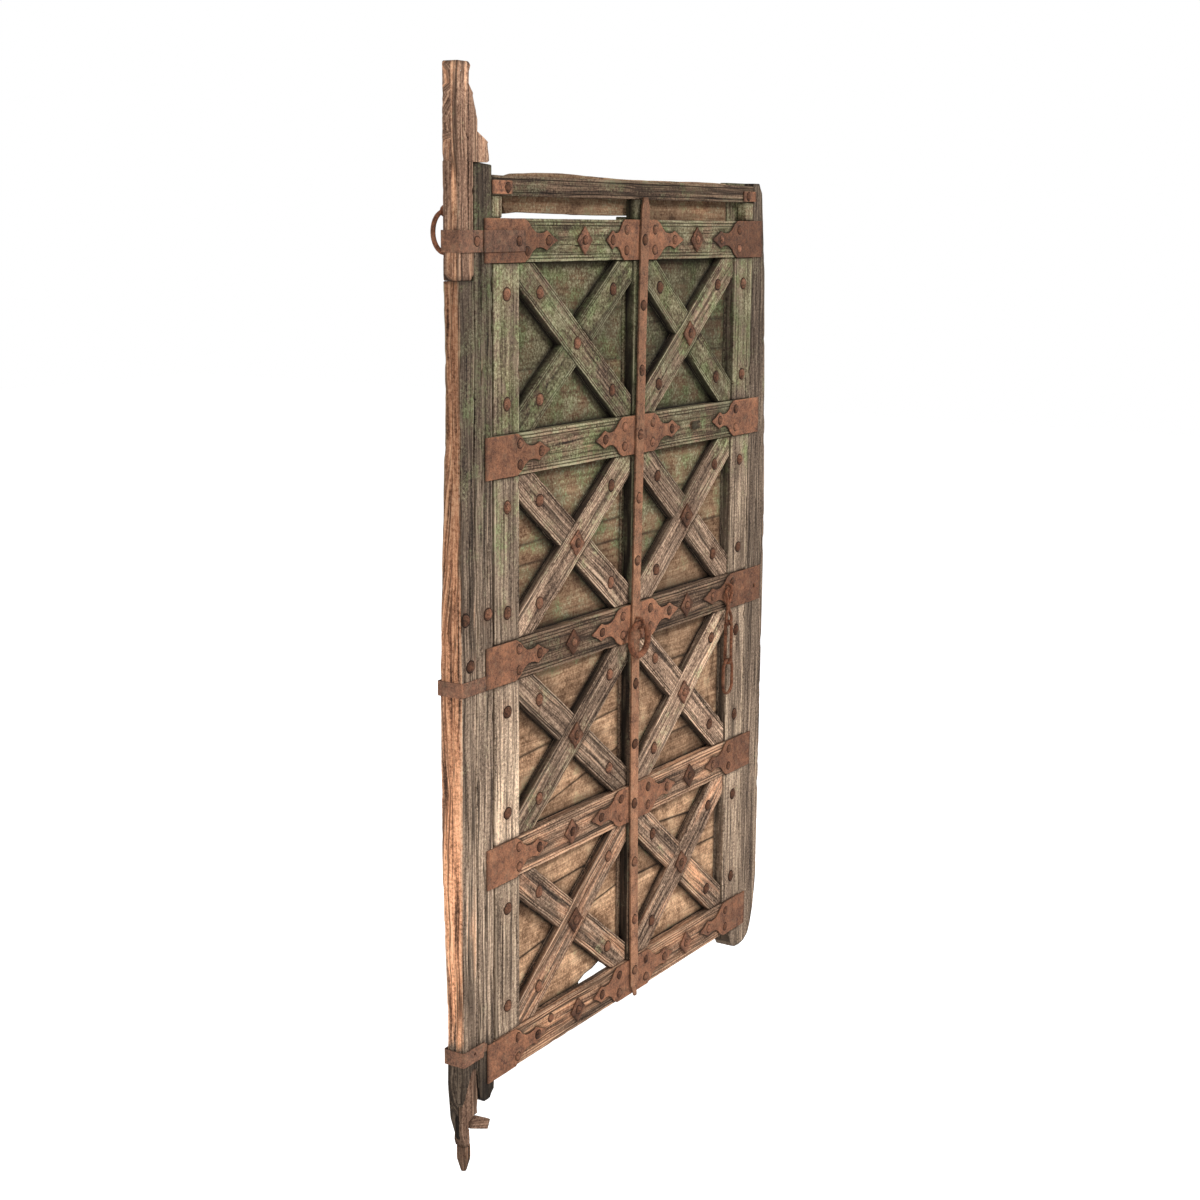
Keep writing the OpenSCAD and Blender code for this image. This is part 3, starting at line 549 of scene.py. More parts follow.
@dataclass
class Board:
    """A board: a section with rounded corners carried along the grain.

    A point of it has s along the grain, t across it and d through it. The edges low and high
    give t by s, the ends begin and finish give s by t, and front and rear give d by s; each is
    a number, a list of knots or a curve. A split has its place in t, its start and stop in s,
    its width and its depth. Wear only takes wood away, so the board stays inside its outline.
    """

    reach: Pair
    low: Shape
    high: Shape
    front: Shape
    rear: Shape
    begin: Optional[Shape] = None
    finish: Optional[Shape] = None
    end_zone: float = 90.0
    origin: Pair = (0.0, 0.0)
    grain: Pair = (1.0, 0.0)
    across: Pair = (0.0, 1.0)
    radius: float = 2.2
    end_radius: float = 2.0
    step: float = 12.0
    column: float = 5.0
    reeds: Sequence[float] = ()
    reed_depth: float = 1.5
    reed_width: float = 3.4
    splits: Sequence[tuple[float, float, float, float, float]] = ()
    waver: float = 0.9
    weather: Weather = field(default_factory=Weather)
    seed: int = 1
    place: Optional[Place] = None
    # painted contact shade: a function of X and Z that darkens the front next to other pieces
    contact: Optional[Callable[[Array, Array], Array]] = None

    def __post_init__(self) -> None:
        """Makes curves of edges and ends that are given as numbers or knots."""
        for name in ("low", "high", "front", "rear", "begin", "finish"):
            if getattr(self, name) is not None:
                setattr(self, name, as_curve(getattr(self, name)))

    def _section(self) -> Section:
        """The section's points, close together at corners, reeds and splits."""
        r = self.radius
        margin = max([r] + [e + self.reed_width for e in self.reeds])
        middle = (self.reach[0] + self.reach[1]) / 2
        along = np.linspace(*self.reach, 9)
        inner = float(np.max(self.high(along) - self.low(along))) - 2 * margin
        room = max(inner, 1)
        cracks = []
        for place, _, _, width, _ in self.splits:
            t, half = (place - float(self.low(middle)) - margin) / room, width / 2 / room
            cracks += [t - half, t, t + half]
        even = np.linspace(0, 1, max(2, int(round(inner / self.column)) + 1))
        share = [f for f in even if all(abs(f - c) > 1.5 / room for c in cracks)] + cracks
        share = sorted(f for f in share if -NEAR <= f <= 1 + NEAR)
        bend = r * (1 - math.sqrt(0.5))
        off = [0.0] * len(SIDE_SHARES) + [bend]
        if self.reeds:
            near = {r} | {e + k * self.reed_width / 2 for e in self.reeds for k in (-1, 0, 1)}
            off += sorted(n for n in near if n >= r)
        n, sides = len(off), len(SIDE_SHARES)
        inset = [r] * sides + [bend] + [0.0] * (n - sides - 1)
        through = list(SIDE_SHARES) + [0.0] * (n - sides)
        return Section(
            np.array(off + [margin] * len(share) + [2 * margin - o for o in reversed(off)]),
            np.array([0.0] * n + share + [1.0] * n),
            np.array(inset + [0.0] * len(share) + inset[::-1]),
            np.array(through + [0.0] * len(share) + through[::-1]), margin, r)

    def _stations(self) -> Array:
        """Places along the grain: even steps, every knot of the outline, and the end rounds."""
        s0, s1 = self.reach
        count = max(3, int(round((s1 - s0) / self.step)) + 1)
        knots = [p for c in (self.low, self.high, self.front, self.rear) for p in c.places]
        for _, start, stop, _, _ in self.splits:
            knots += [start, stop]
        rounds = [self.end_radius * k for k in (0.3, 1.0)]
        inside = [p for p in [s0 + q for q in rounds] + [s1 - q for q in rounds] + knots if s0 < p < s1]
        even = [p for p in np.linspace(s0, s1, count)[1:-1] if all(abs(p - q) > 1.6 for q in inside)]
        tidy: list[float] = []
        for p in sorted([s0, s1] + inside + even):
            if not tidy or p - tidy[-1] > 0.25:
                tidy.append(float(p))
        return np.array(tidy)

    def _spread(self, s: Array, t: Array) -> Array:
        """Stretches s in each end zone, so that it starts at the end's own outline."""
        s0, s1 = self.reach
        zone = self.end_zone
        if self.begin is not None:
            b = self.begin(t)
            s = np.where(s < s0 + zone, b + (s - s0) * (s0 + zone - b) / zone, s)
        if self.finish is not None:
            e = self.finish(t)
            s = np.where(s > s1 - zone, e - (s1 - s) * (e - (s1 - zone)) / zone, s)
        return s

    def surface(self) -> Surface:
        """The board's closed surface with its marks.

        Returns:
            A surface in mm. Its relief is pushed along the inward normal of the section, and v
            is the unrolled place round the section, which keeps the grain straight on each face.
        """
        form, station = self._section(), self._stations()
        low, high = self.low(station)[:, None], self.high(station)[:, None]
        front, rear = self.front(station)[:, None], self.rear(station)[:, None]
        thick = rear - front
        line = station[:, None]
        keep = ramp(high - low, NARROW, WIDE)
        low, high = (
            low + self.waver * np.abs(LOW_WAVER(line, MID_LINE, self.seed)) * keep,
            high - self.waver * np.abs(HIGH_WAVER(line, MID_LINE, self.seed)) * keep)
        over = low + form.off[None] + form.share[None] * (high - low - 2 * form.margin)
        inwards = form.inset[None] + form.through[None] * (thick - 2 * self.radius)
        t = np.concatenate([over, over[:, ::-1]], 1)
        d = np.concatenate([front + inwards, rear - inwards[:, ::-1]], 1)
        s = self._spread(np.broadcast_to(line, t.shape), t)
        turned = np.where(form.on_high, inwards, 0) - np.where(form.on_low, inwards, 0)
        v = np.concatenate(
            [over + turned, 2 * high + thick - over[:, ::-1] - turned[:, ::-1]], 1)
        near_end = np.minimum(station - self.reach[0], self.reach[1] - station)[:, None]
        relief = self._relief(form, s, v)
        t, relief, split = self._opened(s, t, relief)
        x = np.clip(1 - near_end / self.end_radius, 0, 1)
        relief = relief + self.end_radius * (1 - np.sqrt(np.clip(1 - x * x, 0, 1))) * 0.8
        relief = np.minimum(relief, 0.45 * np.minimum(thick, np.maximum(high - low, 0.5)))
        t, d = t + form.normal_t[None] * relief, d + form.normal_d[None] * relief
        points = self._placed(s, t, d)
        closing = np.concatenate([v, v[:, :1] + 2 * (high - low + thick)], 1)
        uv = ring_uv(s + UV_STEP_S * self.seed, closing + UV_STEP_V * self.seed)
        caps, cap_uv = self._caps(t, d)
        behind = np.clip((d - front) / np.maximum(thick, 0.1), 0, 1)
        marks = self._marks(points, s, v, behind, relief, form, split, near_end)
        return Surface(
            points.reshape(-1, 3), np.concatenate([ring_faces(*t.shape), caps]), np.zeros((0, 3), int),
            np.concatenate([uv, cap_uv]), np.zeros((0, 3, 2)), marks)

    def _relief(self, form: Section, s: Array, v: Array) -> Array:
        """Depth worn away: grain ridges, slow hollows, chipped corners and the reeds."""
        w, k = self.weather, self.seed
        grain, slow = GRAIN(s, v, k), HOLLOWS(s, v, k)
        chip = ramp(CHIPS(s, v, k), 0.12, 0.75) * form.corner
        relief = w.ridge * (0.5 + 0.5 * grain) + w.hollow * (0.5 + 0.5 * slow) + w.edge_loss * chip
        lost = ramp(LOST_REEDS(s, v, k), 0.25, 0.6)
        return relief + self.reed_depth * form.lines(self.reeds) * (1 - 0.8 * lost)

    def _opened(self, s: Array, t: Array, relief: Array) -> tuple[Array, Array, Array]:
        """Opens the splits.

        Args:
            s, t: places of the points.
            relief: depth worn away so far.
        Returns:
            The places in t, which wander with each split, the relief, and where splits are.
        """
        half = t.shape[1] // 2
        split = np.zeros_like(t)
        for place, start, stop, width, depth in self.splits:
            along = np.sin(np.pi * np.clip((s - start) / (stop - start), 0, 1)) ** 0.5
            wander = 1.2 * width * WANDER(s, MID_LINE, self.seed)
            hit = np.abs(t - place) < 0.3
            hit[:, half:] = False
            split = np.maximum(split, along * hit)
            t = t + wander * ramp(along, 0, 0.6) * np.exp(-(((t - place) / (4 * width)) ** 2))
            relief = relief + depth * along * hit
        return t, relief, split

    def _placed(self, s: Array, t: Array, d: Array) -> Array:
        """Points in the leaf's frame from places in the board's."""
        if self.place is not None:
            return self.place(s, t, d)
        x = self.origin[0] + s * self.grain[0] + t * self.across[0]
        z = self.origin[1] + s * self.grain[1] + t * self.across[1]
        return np.stack([x, d + 0 * s, z], -1)

    def _caps(self, t: Array, d: Array) -> tuple[Array, Array]:
        """Quads that close both ends, strip by strip from a front point to the one behind it."""
        rows, count = t.shape
        j = np.arange(count // 2 - 1)
        strip = np.stack([j, j + 1, count - 2 - j, count - 1 - j], -1)
        last = strip[:, ::-1] + (rows - 1) * count
        uv = [np.stack([CAP_SQUEEZE * d[row][faces], t[row][faces]], -1) * MM
              for row, faces in ((0, strip), (-1, strip[:, ::-1]))]
        return np.concatenate([strip[:, ::-1], last[:, ::-1]]), np.concatenate(uv)

    def _marks(self, points: Array, s: Array, v: Array, behind: Array, relief: Array, form: Section,
               split: Array, near_end: Array) -> dict[str, Array]:
        """What weather and use have left on each point, with the shade painted on its sides, ends and
        contacts, as numbers from 0 to 1; tone has both signs.

        Args:
            points: where the points are.
            s, v: their places along the grain and round the board.
            behind: their share of the depth.
            relief: depth worn away.
            form: the section.
            split: where splits are.
            near_end: distance of each ring from the nearer end.
        Returns:
            An array for each mark.
        """
        w, k = self.weather, self.seed
        x, z = points[..., 0], points[..., 2]
        corner = np.maximum(form.corner, 0.55 * form.lines(
            [e + way * self.reed_width / 2 for e in self.reeds for way in (-1, 1)]))
        facing, side, low_side = (
            np.broadcast_to(m[None], s.shape)
            for m in (form.normal_d > 0.5, np.abs(form.normal_t) > 0.9, form.normal_t > 0.5))
        patch = PATCHES(s, v, k)
        wear = corner * (0.75 + 0.7 * patch) * (w.dark_edge == 0) - 0.4 * ramp(relief, 0.9, 2.6)
        # The grime_and_shade mark: dirt and painted shade in the reeds and splits, and dirt over the whole
        # board
        grime_and_shade = 0.85 * form.lines(self.reeds) + 1.0 * split + w.grime_and_shade * (0.6 + 0.5 * patch)
        grime_and_shade = grime_and_shade + w.dark_edge * corner
        # painted shade with dirt on the sides, deeper towards the back
        grime_and_shade = np.clip(grime_and_shade + w.side_dirt_and_shade * side * (0.45 + 0.7 * behind + 0.5 * patch), 0, 1)
        # painted shade at the ends, where a board butts on the next piece
        grime_and_shade = np.maximum(grime_and_shade, 0.55 * ramp(-near_end, -9, 0) * np.ones_like(s))
        moss = np.clip(moss_at(z, x) + w.moss + 0.22 * patch, 0, 1)
        # painted contact shade next to plates, rails, strips and braces
        if self.contact is not None:
            near = self.contact(x, z) * facing
            grime_and_shade, moss = np.maximum(grime_and_shade, near), np.clip(moss + 0.3 * near, 0, 1)
        wet = w.wet_foot * ramp(-z - 25 * patch, -225, -175)
        grime_and_shade = np.clip(grime_and_shade + wet * (0.5 + 0.6 * patch), 0, 1)
        raw = np.clip(w.raw + w.raw_low_side * low_side + 0.3 * patch * (w.raw > 0) - wet, 0, 1)
        tone = w.tone + 0.25 * patch + w.side_tone_and_light * low_side - 1.0 * wet
        tone = tone + w.tone_rise * np.maximum(z - TONE_MIDDLE, TONE_LEAST) / TONE_HEIGHT
        tone = tone + w.tone_across * (BAR_CENTRE - x) / TONE_REACH
        marks = {"wear": np.clip(wear, 0, 1), "grime_and_shade": grime_and_shade, "moss": moss,
                 "stain": rust_run(x, z) * facing, "tone": tone, "raw": raw}
        return {name: mark.ravel() for name, mark in marks.items()}


def upright_board(x0: float, x1: float, z0: float, z1: float, y0: float, y1: float, **more) -> Board:
    """A board with vertical grain.

    Args:
        x0, x1, z0, z1, y0, y1: its limits.
        more: other fields of Board.
    Returns:
        The board; its t is X and its s is Z.
    """
    given = dict(low=x0, high=x1, front=y0, rear=y1)
    given.update(more)
    return Board(reach=(z0, z1), grain=(0.0, 1.0), across=(1.0, 0.0), **given)


def lying_board(x0: float, x1: float, z0: float, z1: float, y0: float, y1: float, **more) -> Board:
    """A board with grain along X; its t is Z and its s is X."""
    given = dict(low=z0, high=z1, front=y0, rear=y1)
    given.update(more)
    return Board(reach=(x0, x1), **given)


# ---------------------------------------------------------------- turned and bent forms


def lathe(radius: Array, depth: Array, place: Place, segments: int = 20, wobble: float = 0.0,
          seed: int = 1, wear: Optional[Array] = None) -> Surface:
    """A turned form: a profile carried round an axis, closed at both poles.

    Args:
        radius, depth: the profile, from one pole to the other, poles left out.
        place: maps sideways, upwards and depth to points.
        segments: points round the axis.
        wobble: share by which the radius wanders round the form.
        seed: picks the wander.
        wear: mark for each profile point.
    Returns:
        The closed surface.
    """
    rows = len(radius)
    angle = np.arange(segments) * 2 * math.pi / segments
    q = np.broadcast_to(angle, (rows, segments))
    swing = 1 + wobble * layered_noise(2 + 1.4 * np.cos(q), 2 + 1.4 * np.sin(q), seed, 2)
    r = radius[:, None] * swing
    ring = place(r * np.cos(q), r * np.sin(q), depth[:, None] + 0 * q)
    poles = place(np.zeros(2), np.zeros(2), np.array([depth[0], depth[-1]], float))
    run = np.concatenate([[0], np.cumsum(np.hypot(np.diff(radius), np.diff(depth)))])
    around = np.concatenate([q, np.full((rows, 1), 2 * math.pi)], 1) * float(np.max(radius))
    triangles = pole_faces(rows, segments)
    marks = {}
    if wear is not None:
        marks["wear"] = np.concatenate([np.repeat(wear, segments), [wear[0], wear[-1]]])
    return Surface(
        np.concatenate([ring.reshape(-1, 3), poles]), ring_faces(rows, segments), triangles,
        ring_uv(np.broadcast_to(run[:, None], q.shape), around), np.zeros((len(triangles), 3, 2)), marks)


@dataclass
class Rod:
    """A round bar bent along a path, thinner where it has rubbed.

    The section is a circle in the plane of the bar's normal and a fixed axis square to the
    bend; hammer marks move the radius a little.
    """

    path: Array
    axis: tuple[float, float, float]
    diameter: float
    closed: bool
    seed: int = 1
    segments: int = 14
    dent: float = 0.05
    thin: Optional[Callable[[Array], Array]] = None

    def _swing(self, run: Array, angle: Array) -> Array:
        """Hammer marks by run and angle, which meet where a closed bar does."""
        share = run / (run[-1] + 1e-9)
        lap = 3.0 if self.closed else 0.0
        wave_u = np.cos(2 * math.pi * share)[:, None] * lap + (run / 14)[:, None] * (lap == 0)
        wave_v = np.sin(2 * math.pi * share)[:, None] * lap
        return layered_noise(wave_u * 2 + 1.3 * np.cos(angle)[None] + 9,
                             wave_v * 2 + 1.3 * np.sin(angle)[None] + 9, self.seed, 2)

    def surface(self) -> Surface:
        """The bar's closed surface: centre + radius x (cos of the angle x side + sin x axis)."""
        path, rows, n = self.path, len(self.path), self.segments
        if self.closed:
            tangent = np.roll(path, -1, 0) - np.roll(path, 1, 0)
        else:
            tangent = np.gradient(path, axis=0)
        tangent /= np.linalg.norm(tangent, axis=1, keepdims=True)
        side = np.cross(np.array(self.axis), tangent)
        side /= np.linalg.norm(side, axis=1, keepdims=True)
        up = np.cross(tangent, side)
        run = run_of(path)
        angle = np.arange(n) * 2 * math.pi / n
        swing = self._swing(run, angle)
        r = self.diameter / 2 * (1 - self.dent * (0.6 + 0.7 * swing))
        if self.thin is not None:
            r = r * self.thin(path)[:, None]
        points = (
            path[:, None]
            + (r * np.cos(angle))[..., None] * side[:, None]
            + (r * np.sin(angle))[..., None] * up[:, None]
        ).reshape(-1, 3)
        u = np.broadcast_to(run[:, None], (rows, n))
        v = np.broadcast_to(np.arange(n + 1) * math.pi * self.diameter / n, (rows, n + 1))
        wear = (ramp(swing, -0.3, 0.5) * 0.7).ravel()
        if self.closed:
            quads = ring_faces(rows + 1, n) % (rows * n)
            triangles = np.zeros((0, 3), int)
            step = np.linalg.norm(path[0] - path[-1])
            u = np.concatenate([u, np.full((1, n), run[-1] + step)])
            v = np.concatenate([v, v[:1]])
        else:
            quads, triangles = ring_faces(rows, n), pole_faces(rows, n)
            ends = np.stack([path[0] - tangent[0] * 0.4, path[-1] + tangent[-1] * 0.4])
            points = np.concatenate([points, ends])
            wear = np.concatenate([wear, [0.5, 0.5]])
        return Surface(points, quads, triangles, ring_uv(u, v), np.zeros((len(triangles), 3, 2)),
                       {"wear": wear})


def arc(centre: Sequence[float], e1: Sequence[float], e2: Sequence[float], r: float,
        start: float, stop: float, count: int) -> Array:
    """Points of an arc: centre + r (cos a e1 + sin a e2), the angles in degrees."""
    a = np.radians(np.linspace(start, stop, count))
    return np.array(centre) + r * (
        np.cos(a)[:, None] * np.array(e1) + np.sin(a)[:, None] * np.array(e2))


def run_of(path: Array) -> Array:
    """Distance along a path from its start to each of its points."""
    return np.concatenate([[0], np.cumsum(np.linalg.norm(np.diff(path, axis=0), axis=1))])


def even_path(corners: Array, step: float, closed: bool) -> Array:
    """A path's points at even steps.

    Args:
        corners: points of the path.
        step: distance wanted between points.
        closed: whether it returns to its start.
    Returns:
        New points; a closed path's last one is a step before its first.
    """
    if closed:
        corners = np.concatenate([corners, corners[:1]])
    run = run_of(corners)
    at = np.linspace(0, run[-1], max(4, int(round(run[-1] / step))) + 1)
    if closed:
        at = at[:-1]
    return np.stack([np.interp(at, run, corners[:, k]) for k in range(3)], 1)


# ---------------------------------------------------------------- colours and finishes


def shade(red: int, green: int, blue: int) -> Colour:
    """A screen colour of 0 to 255 as Blender's linear one."""
    values = []
    for c in (red / 255, green / 255, blue / 255):
        values.append(c / 12.92 if c <= 0.04045 else ((c + 0.055) / 1.055) ** 2.4)
    return (*values, 1.0)


class Nodes:
    """Short ways to add and join nodes of one tree."""

    def __init__(self, tree: bpy.types.NodeTree) -> None:
        """Keeps the tree."""
        self.tree = tree

    def add(self, kind: str, inputs: Optional[dict] = None, **settings) -> bpy.types.Node:
        """Adds a node.

        Args:
            kind: the node's type without its prefix.
            inputs: socket names or numbers, with values or sockets to join.
            settings: properties of the node.
        Returns:
            The node.
        """
        node = self.tree.nodes.new(kind if kind.startswith("NodeGroup") else "ShaderNode" + kind)
        for key, value in settings.items():
            setattr(node, key, value)
        for key, value in (inputs or {}).items():
            if isinstance(value, bpy.types.NodeSocket):
                self.tree.links.new(value, node.inputs[key])
            else:
                node.inputs[key].default_value = value
        return node

    def math(self, operation: str, a: Value, b: Value = 0.0, clamp: bool = False) -> Socket:
        """One sum of two numbers or sockets."""
        return self.add("Math", {0: a, 1: b}, operation=operation, use_clamp=clamp).outputs[0]

    def plus(self, a: Value, b: Value) -> Socket:
        """a + b."""
        return self.math("ADD", a, b)

    def minus(self, a: Value, b: Value) -> Socket:
        """a - b."""
        return self.math("SUBTRACT", a, b)

    def times(self, a: Value, b: Value, clamp: bool = False) -> Socket:
        """a x b, held between 0 and 1 where clamp says so."""
        return self.math("MULTIPLY", a, b, clamp)

    def weighted(self, *parts: tuple[Socket, float]) -> Socket:
        """Sum of sockets, each times its weight."""
        total, *rest = [self.times(socket, weight) for socket, weight in parts]
        for part in rest:
            total = self.plus(total, part)
        return total

    def mix(self, share: Value, a: object, b: object, blend: str = "MIX") -> Socket:
        """Colour a going over to colour b by share."""
        node = self.add("Mix", {0: share, 6: a, 7: b}, data_type="RGBA", blend_type=blend)
        return node.outputs[2]

    def steps(self, value: Socket, low: float, high: float) -> Socket:
        """0 at low, 1 at high, straight between them."""
        node = self.add("MapRange", {0: value, 1: low, 2: high, 3: 0.0, 4: 1.0}, clamp=True)
        return node.outputs[0]

    def noise(self, vector: Socket, scale: float, detail: float = 3.0, rough: float = 0.55,
              bend: float = 0.0) -> Socket:
        """Blender's noise on a vector."""
        node = self.add("TexNoise", {"Vector": vector, "Scale": scale, "Detail": detail,
                                     "Roughness": rough, "Distortion": bend})
        return node.outputs[0]

    def streaks(self, vector: Socket, along: float, across: float, detail: float = 3.0,
                rough: float = 0.55) -> Socket:
        """Noise at its own scale along and across the grain."""
        drawn = self.add("Mapping", {"Vector": vector, "Scale": (along, across, 1.0)})
        return self.noise(drawn.outputs[0], 1.0, detail, rough)

    def mark(self, name: str) -> Socket:
        """One of the marks written on the mesh."""
        return self.add("Attribute", attribute_name=name, attribute_type="GEOMETRY").outputs[2]

    def toned(self, colour: Socket) -> Socket:
        """A colour times 2 to the power of one and a half tones: the piece's own lightness."""
        factor = self.math("POWER", 2.0, self.times(self.mark("tone"), 1.5))
        return self.add("VectorMath", {0: colour, 3: factor}, operation="SCALE").outputs[0]

    def rays(self, *kinds: str) -> Socket:
        """1 for rays of any of these kinds, else 0."""
        path = self.add("LightPath")
        first, *rest = [path.outputs[f"Is {kind} Ray"] for kind in kinds]
        for seen in rest:
            first = self.math("MAXIMUM", first, seen)
        return first


def fresh_nodes(owner: Union[bpy.types.Material, bpy.types.World]) -> Nodes:
    """An empty node tree on a material or a world."""
    owner.use_nodes = True
    owner.node_tree.nodes.clear()
    return Nodes(owner.node_tree)


class FinishGroup:
    """A shader node group that gives a finish its Color, Roughness and Height."""

    def __init__(self, name: str, inputs: dict[str, Union[Colour, float]]) -> None:
        """Makes the group.

        Args:
            name: its name.
            inputs: its inputs and their defaults, colours or numbers.
        """
        self.tree = bpy.data.node_groups.new(name, "ShaderNodeTree")
        for label, default in inputs.items():
            kind = "NodeSocketFloat" if isinstance(default, float) else "NodeSocketColor"
            socket = self.tree.interface.new_socket(label, in_out="INPUT", socket_type=kind)
            socket.default_value = default
        for label, kind in (("Color", "Color"), ("Roughness", "Float"), ("Height", "Float")):
            self.tree.interface.new_socket(label, in_out="OUTPUT", socket_type="NodeSocket" + kind)
        self.nodes = Nodes(self.tree)
        self.given = self.nodes.add("NodeGroupInput").outputs

    def put_out(self, colour: Socket, rough: Socket, height: Socket) -> bpy.types.NodeTree:
        """Joins the results to the group's outputs and gives the group."""
        self.nodes.add("NodeGroupOutput", {"Color": colour, "Roughness": rough, "Height": height})
        return self.tree


PAINT_PALE, PAINT_MID, PAINT_DARK = shade(186, 178, 144), shade(122, 111, 83), shade(50, 40, 29)
PAINT_COOL = shade(206, 236, 202)
RAW_PALE, RAW_MID, RAW_DARK = shade(232, 180, 140), shade(188, 132, 98), shade(88, 56, 40)
PIT, RUST_DUST = shade(44, 30, 25), shade(150, 124, 98)
# GRIME_AND_SHADE is the dark brown of dirt and of painted shade in cracks, corners and contacts
STAIN, GRIME_AND_SHADE, SOOT = shade(104, 60, 40), shade(30, 23, 17), shade(62, 50, 40)


def weathered_wood_group() -> bpy.types.NodeTree:
    """Grey split grain under worn paint, dark where it is dirty and where shade is painted in, and orange
    where it is raw.

    Returns:
        The group. Its grain follows the UV map: u runs along the grain and v round the board.
        Streaks are noise drawn out along u; cracks are the thin band where a noise crosses its
        middle value.
    """
    group = FinishGroup("Weathered_wood", {
        "Pale": shade(190, 160, 130), "Mid": shade(140, 112, 88), "Dark": shade(70, 54, 42),
        "Cracks": 0.6, "Grain": 1.0})
    n, given = group.nodes, group.given
    uv = n.add("UVMap", uv_map="grain").outputs[0]
    sway = n.times(n.streaks(uv, 4, 11, 2.0), 0.02)
    waved = n.add("VectorMath", {0: uv, 1: n.add("CombineXYZ", {1: sway}).outputs[0]},
                  operation="ADD").outputs[0]
    here = n.add("TexCoord").outputs["Object"]

    def grained(value: Socket) -> Socket:
        """A noise drawn towards its middle where the grain is faint."""
        return n.add("Math", {0: n.minus(value, 0.5), 1: given["Grain"], 2: 0.5},
                     operation="MULTIPLY_ADD").outputs[0]

    streak = grained(n.streaks(waved, 3.0, 118, 5.0, 0.62))
    fibre = grained(n.streaks(waved, 11, 430, 3.0, 0.65))
    broad = n.streaks(waved, 4, 18, 4.0, 0.6)
    line = n.streaks(waved, 1.4, 50, 3.0, 0.5)
    speckle = n.noise(here, 175.0, 4.0, 0.8)
    patch = n.noise(here, 21.0, 6.0, 0.68)

    # Cracks, and the pores between fibres
    crack = n.minus(1.0, n.steps(n.math("ABSOLUTE", n.minus(line, 0.5)), 0.006, 0.034))
    crack = n.times(crack, n.steps(n.plus(broad, speckle), 0.88, 1.04))
    pore = n.minus(1.0, n.steps(streak, 0.35, 0.43))
    crack = n.times(n.math("MAXIMUM", crack, n.times(pore, 0.7)), given["Cracks"])

    # The grey wood and the raw wood; soft blotches take the grain's place where it is faint
    tone = n.weighted((fibre, 0.22), (streak, 0.28), (broad, 0.18), (speckle, 0.32))
    blotch = n.times(n.minus(0.5, n.times(given["Grain"], 0.5)), n.minus(patch, 0.5))
    tone = n.plus(tone, blotch)
    dark_to_mid, mid_to_pale = n.steps(tone, 0.43, 0.50), n.steps(tone, 0.50, 0.57)
    plain = n.mix(mid_to_pale, n.mix(dark_to_mid, given["Dark"], given["Mid"]), given["Pale"])
    bare = n.mix(mid_to_pale, n.mix(dark_to_mid, RAW_DARK, RAW_MID), RAW_PALE)

    # Paint in flakes, and how much of it is left
    flake = n.weighted((speckle, 0.52), (patch, 0.24), (streak, 0.24))
    paint = n.mix(n.steps(flake, 0.5, 0.59),
                  n.mix(n.steps(flake, 0.41, 0.5), PAINT_DARK, PAINT_MID), PAINT_PALE)
    cool = n.times(n.steps(n.noise(here, 14.0, 4.0, 0.65), 0.46, 0.6), 0.75)
    paint = n.mix(cool, paint, PAINT_COOL, "MULTIPLY")
    growth = n.weighted((patch, 1.7), (speckle, 1.2), (broad, 0.9))
    cover = n.steps(n.plus(n.minus(growth, 1.9), n.mark("moss")), 0.3, 0.7)
    crack = n.times(crack, n.minus(1.0, n.times(cover, 0.55)))

    # One coat over the other
    colour = n.mix(cover, plain, paint)
    sooty = n.times(n.steps(n.noise(here, 9.0, 4.0, 0.6), 0.48, 0.66), 0.55)
    colour = n.mix(n.times(sooty, n.mark("moss"), clamp=True), colour, SOOT)
    raw = n.plus(n.mark("raw"), n.times(n.minus(streak, 0.5), 1.3))
    raw = n.steps(n.plus(raw, n.times(n.minus(broad, 0.5), 1.3)), 0.3, 0.75)
    colour = n.mix(raw, colour, bare)
    wear = n.times(n.mark("wear"), n.steps(n.plus(speckle, broad), 0.86, 1.06), clamp=True)
    colour = n.mix(n.times(wear, 0.8), colour, n.mix(cover, given["Pale"], PAINT_PALE))
    stain = n.times(n.mark("stain"), n.steps(n.plus(patch, streak), 0.85, 1.15), clamp=True)
    colour = n.mix(n.times(stain, 0.6), colour, STAIN)
    colour = n.mix(n.times(crack, 0.9), colour, GRIME_AND_SHADE)
    # Dirt and painted shade from the mark: sides, ends, contacts and holes go dark brown
    grime_and_shade = n.times(n.mark("grime_and_shade"), n.steps(n.plus(streak, speckle), 0.7, 0.95), clamp=True)
    colour = n.toned(n.mix(grime_and_shade, colour, GRIME_AND_SHADE))
    height = n.weighted((streak, 0.6), (fibre, 0.3), (speckle, 0.2))
    return group.put_out(colour, n.plus(0.78, n.times(streak, 0.2)), n.minus(height, n.times(crack, 0.4)))


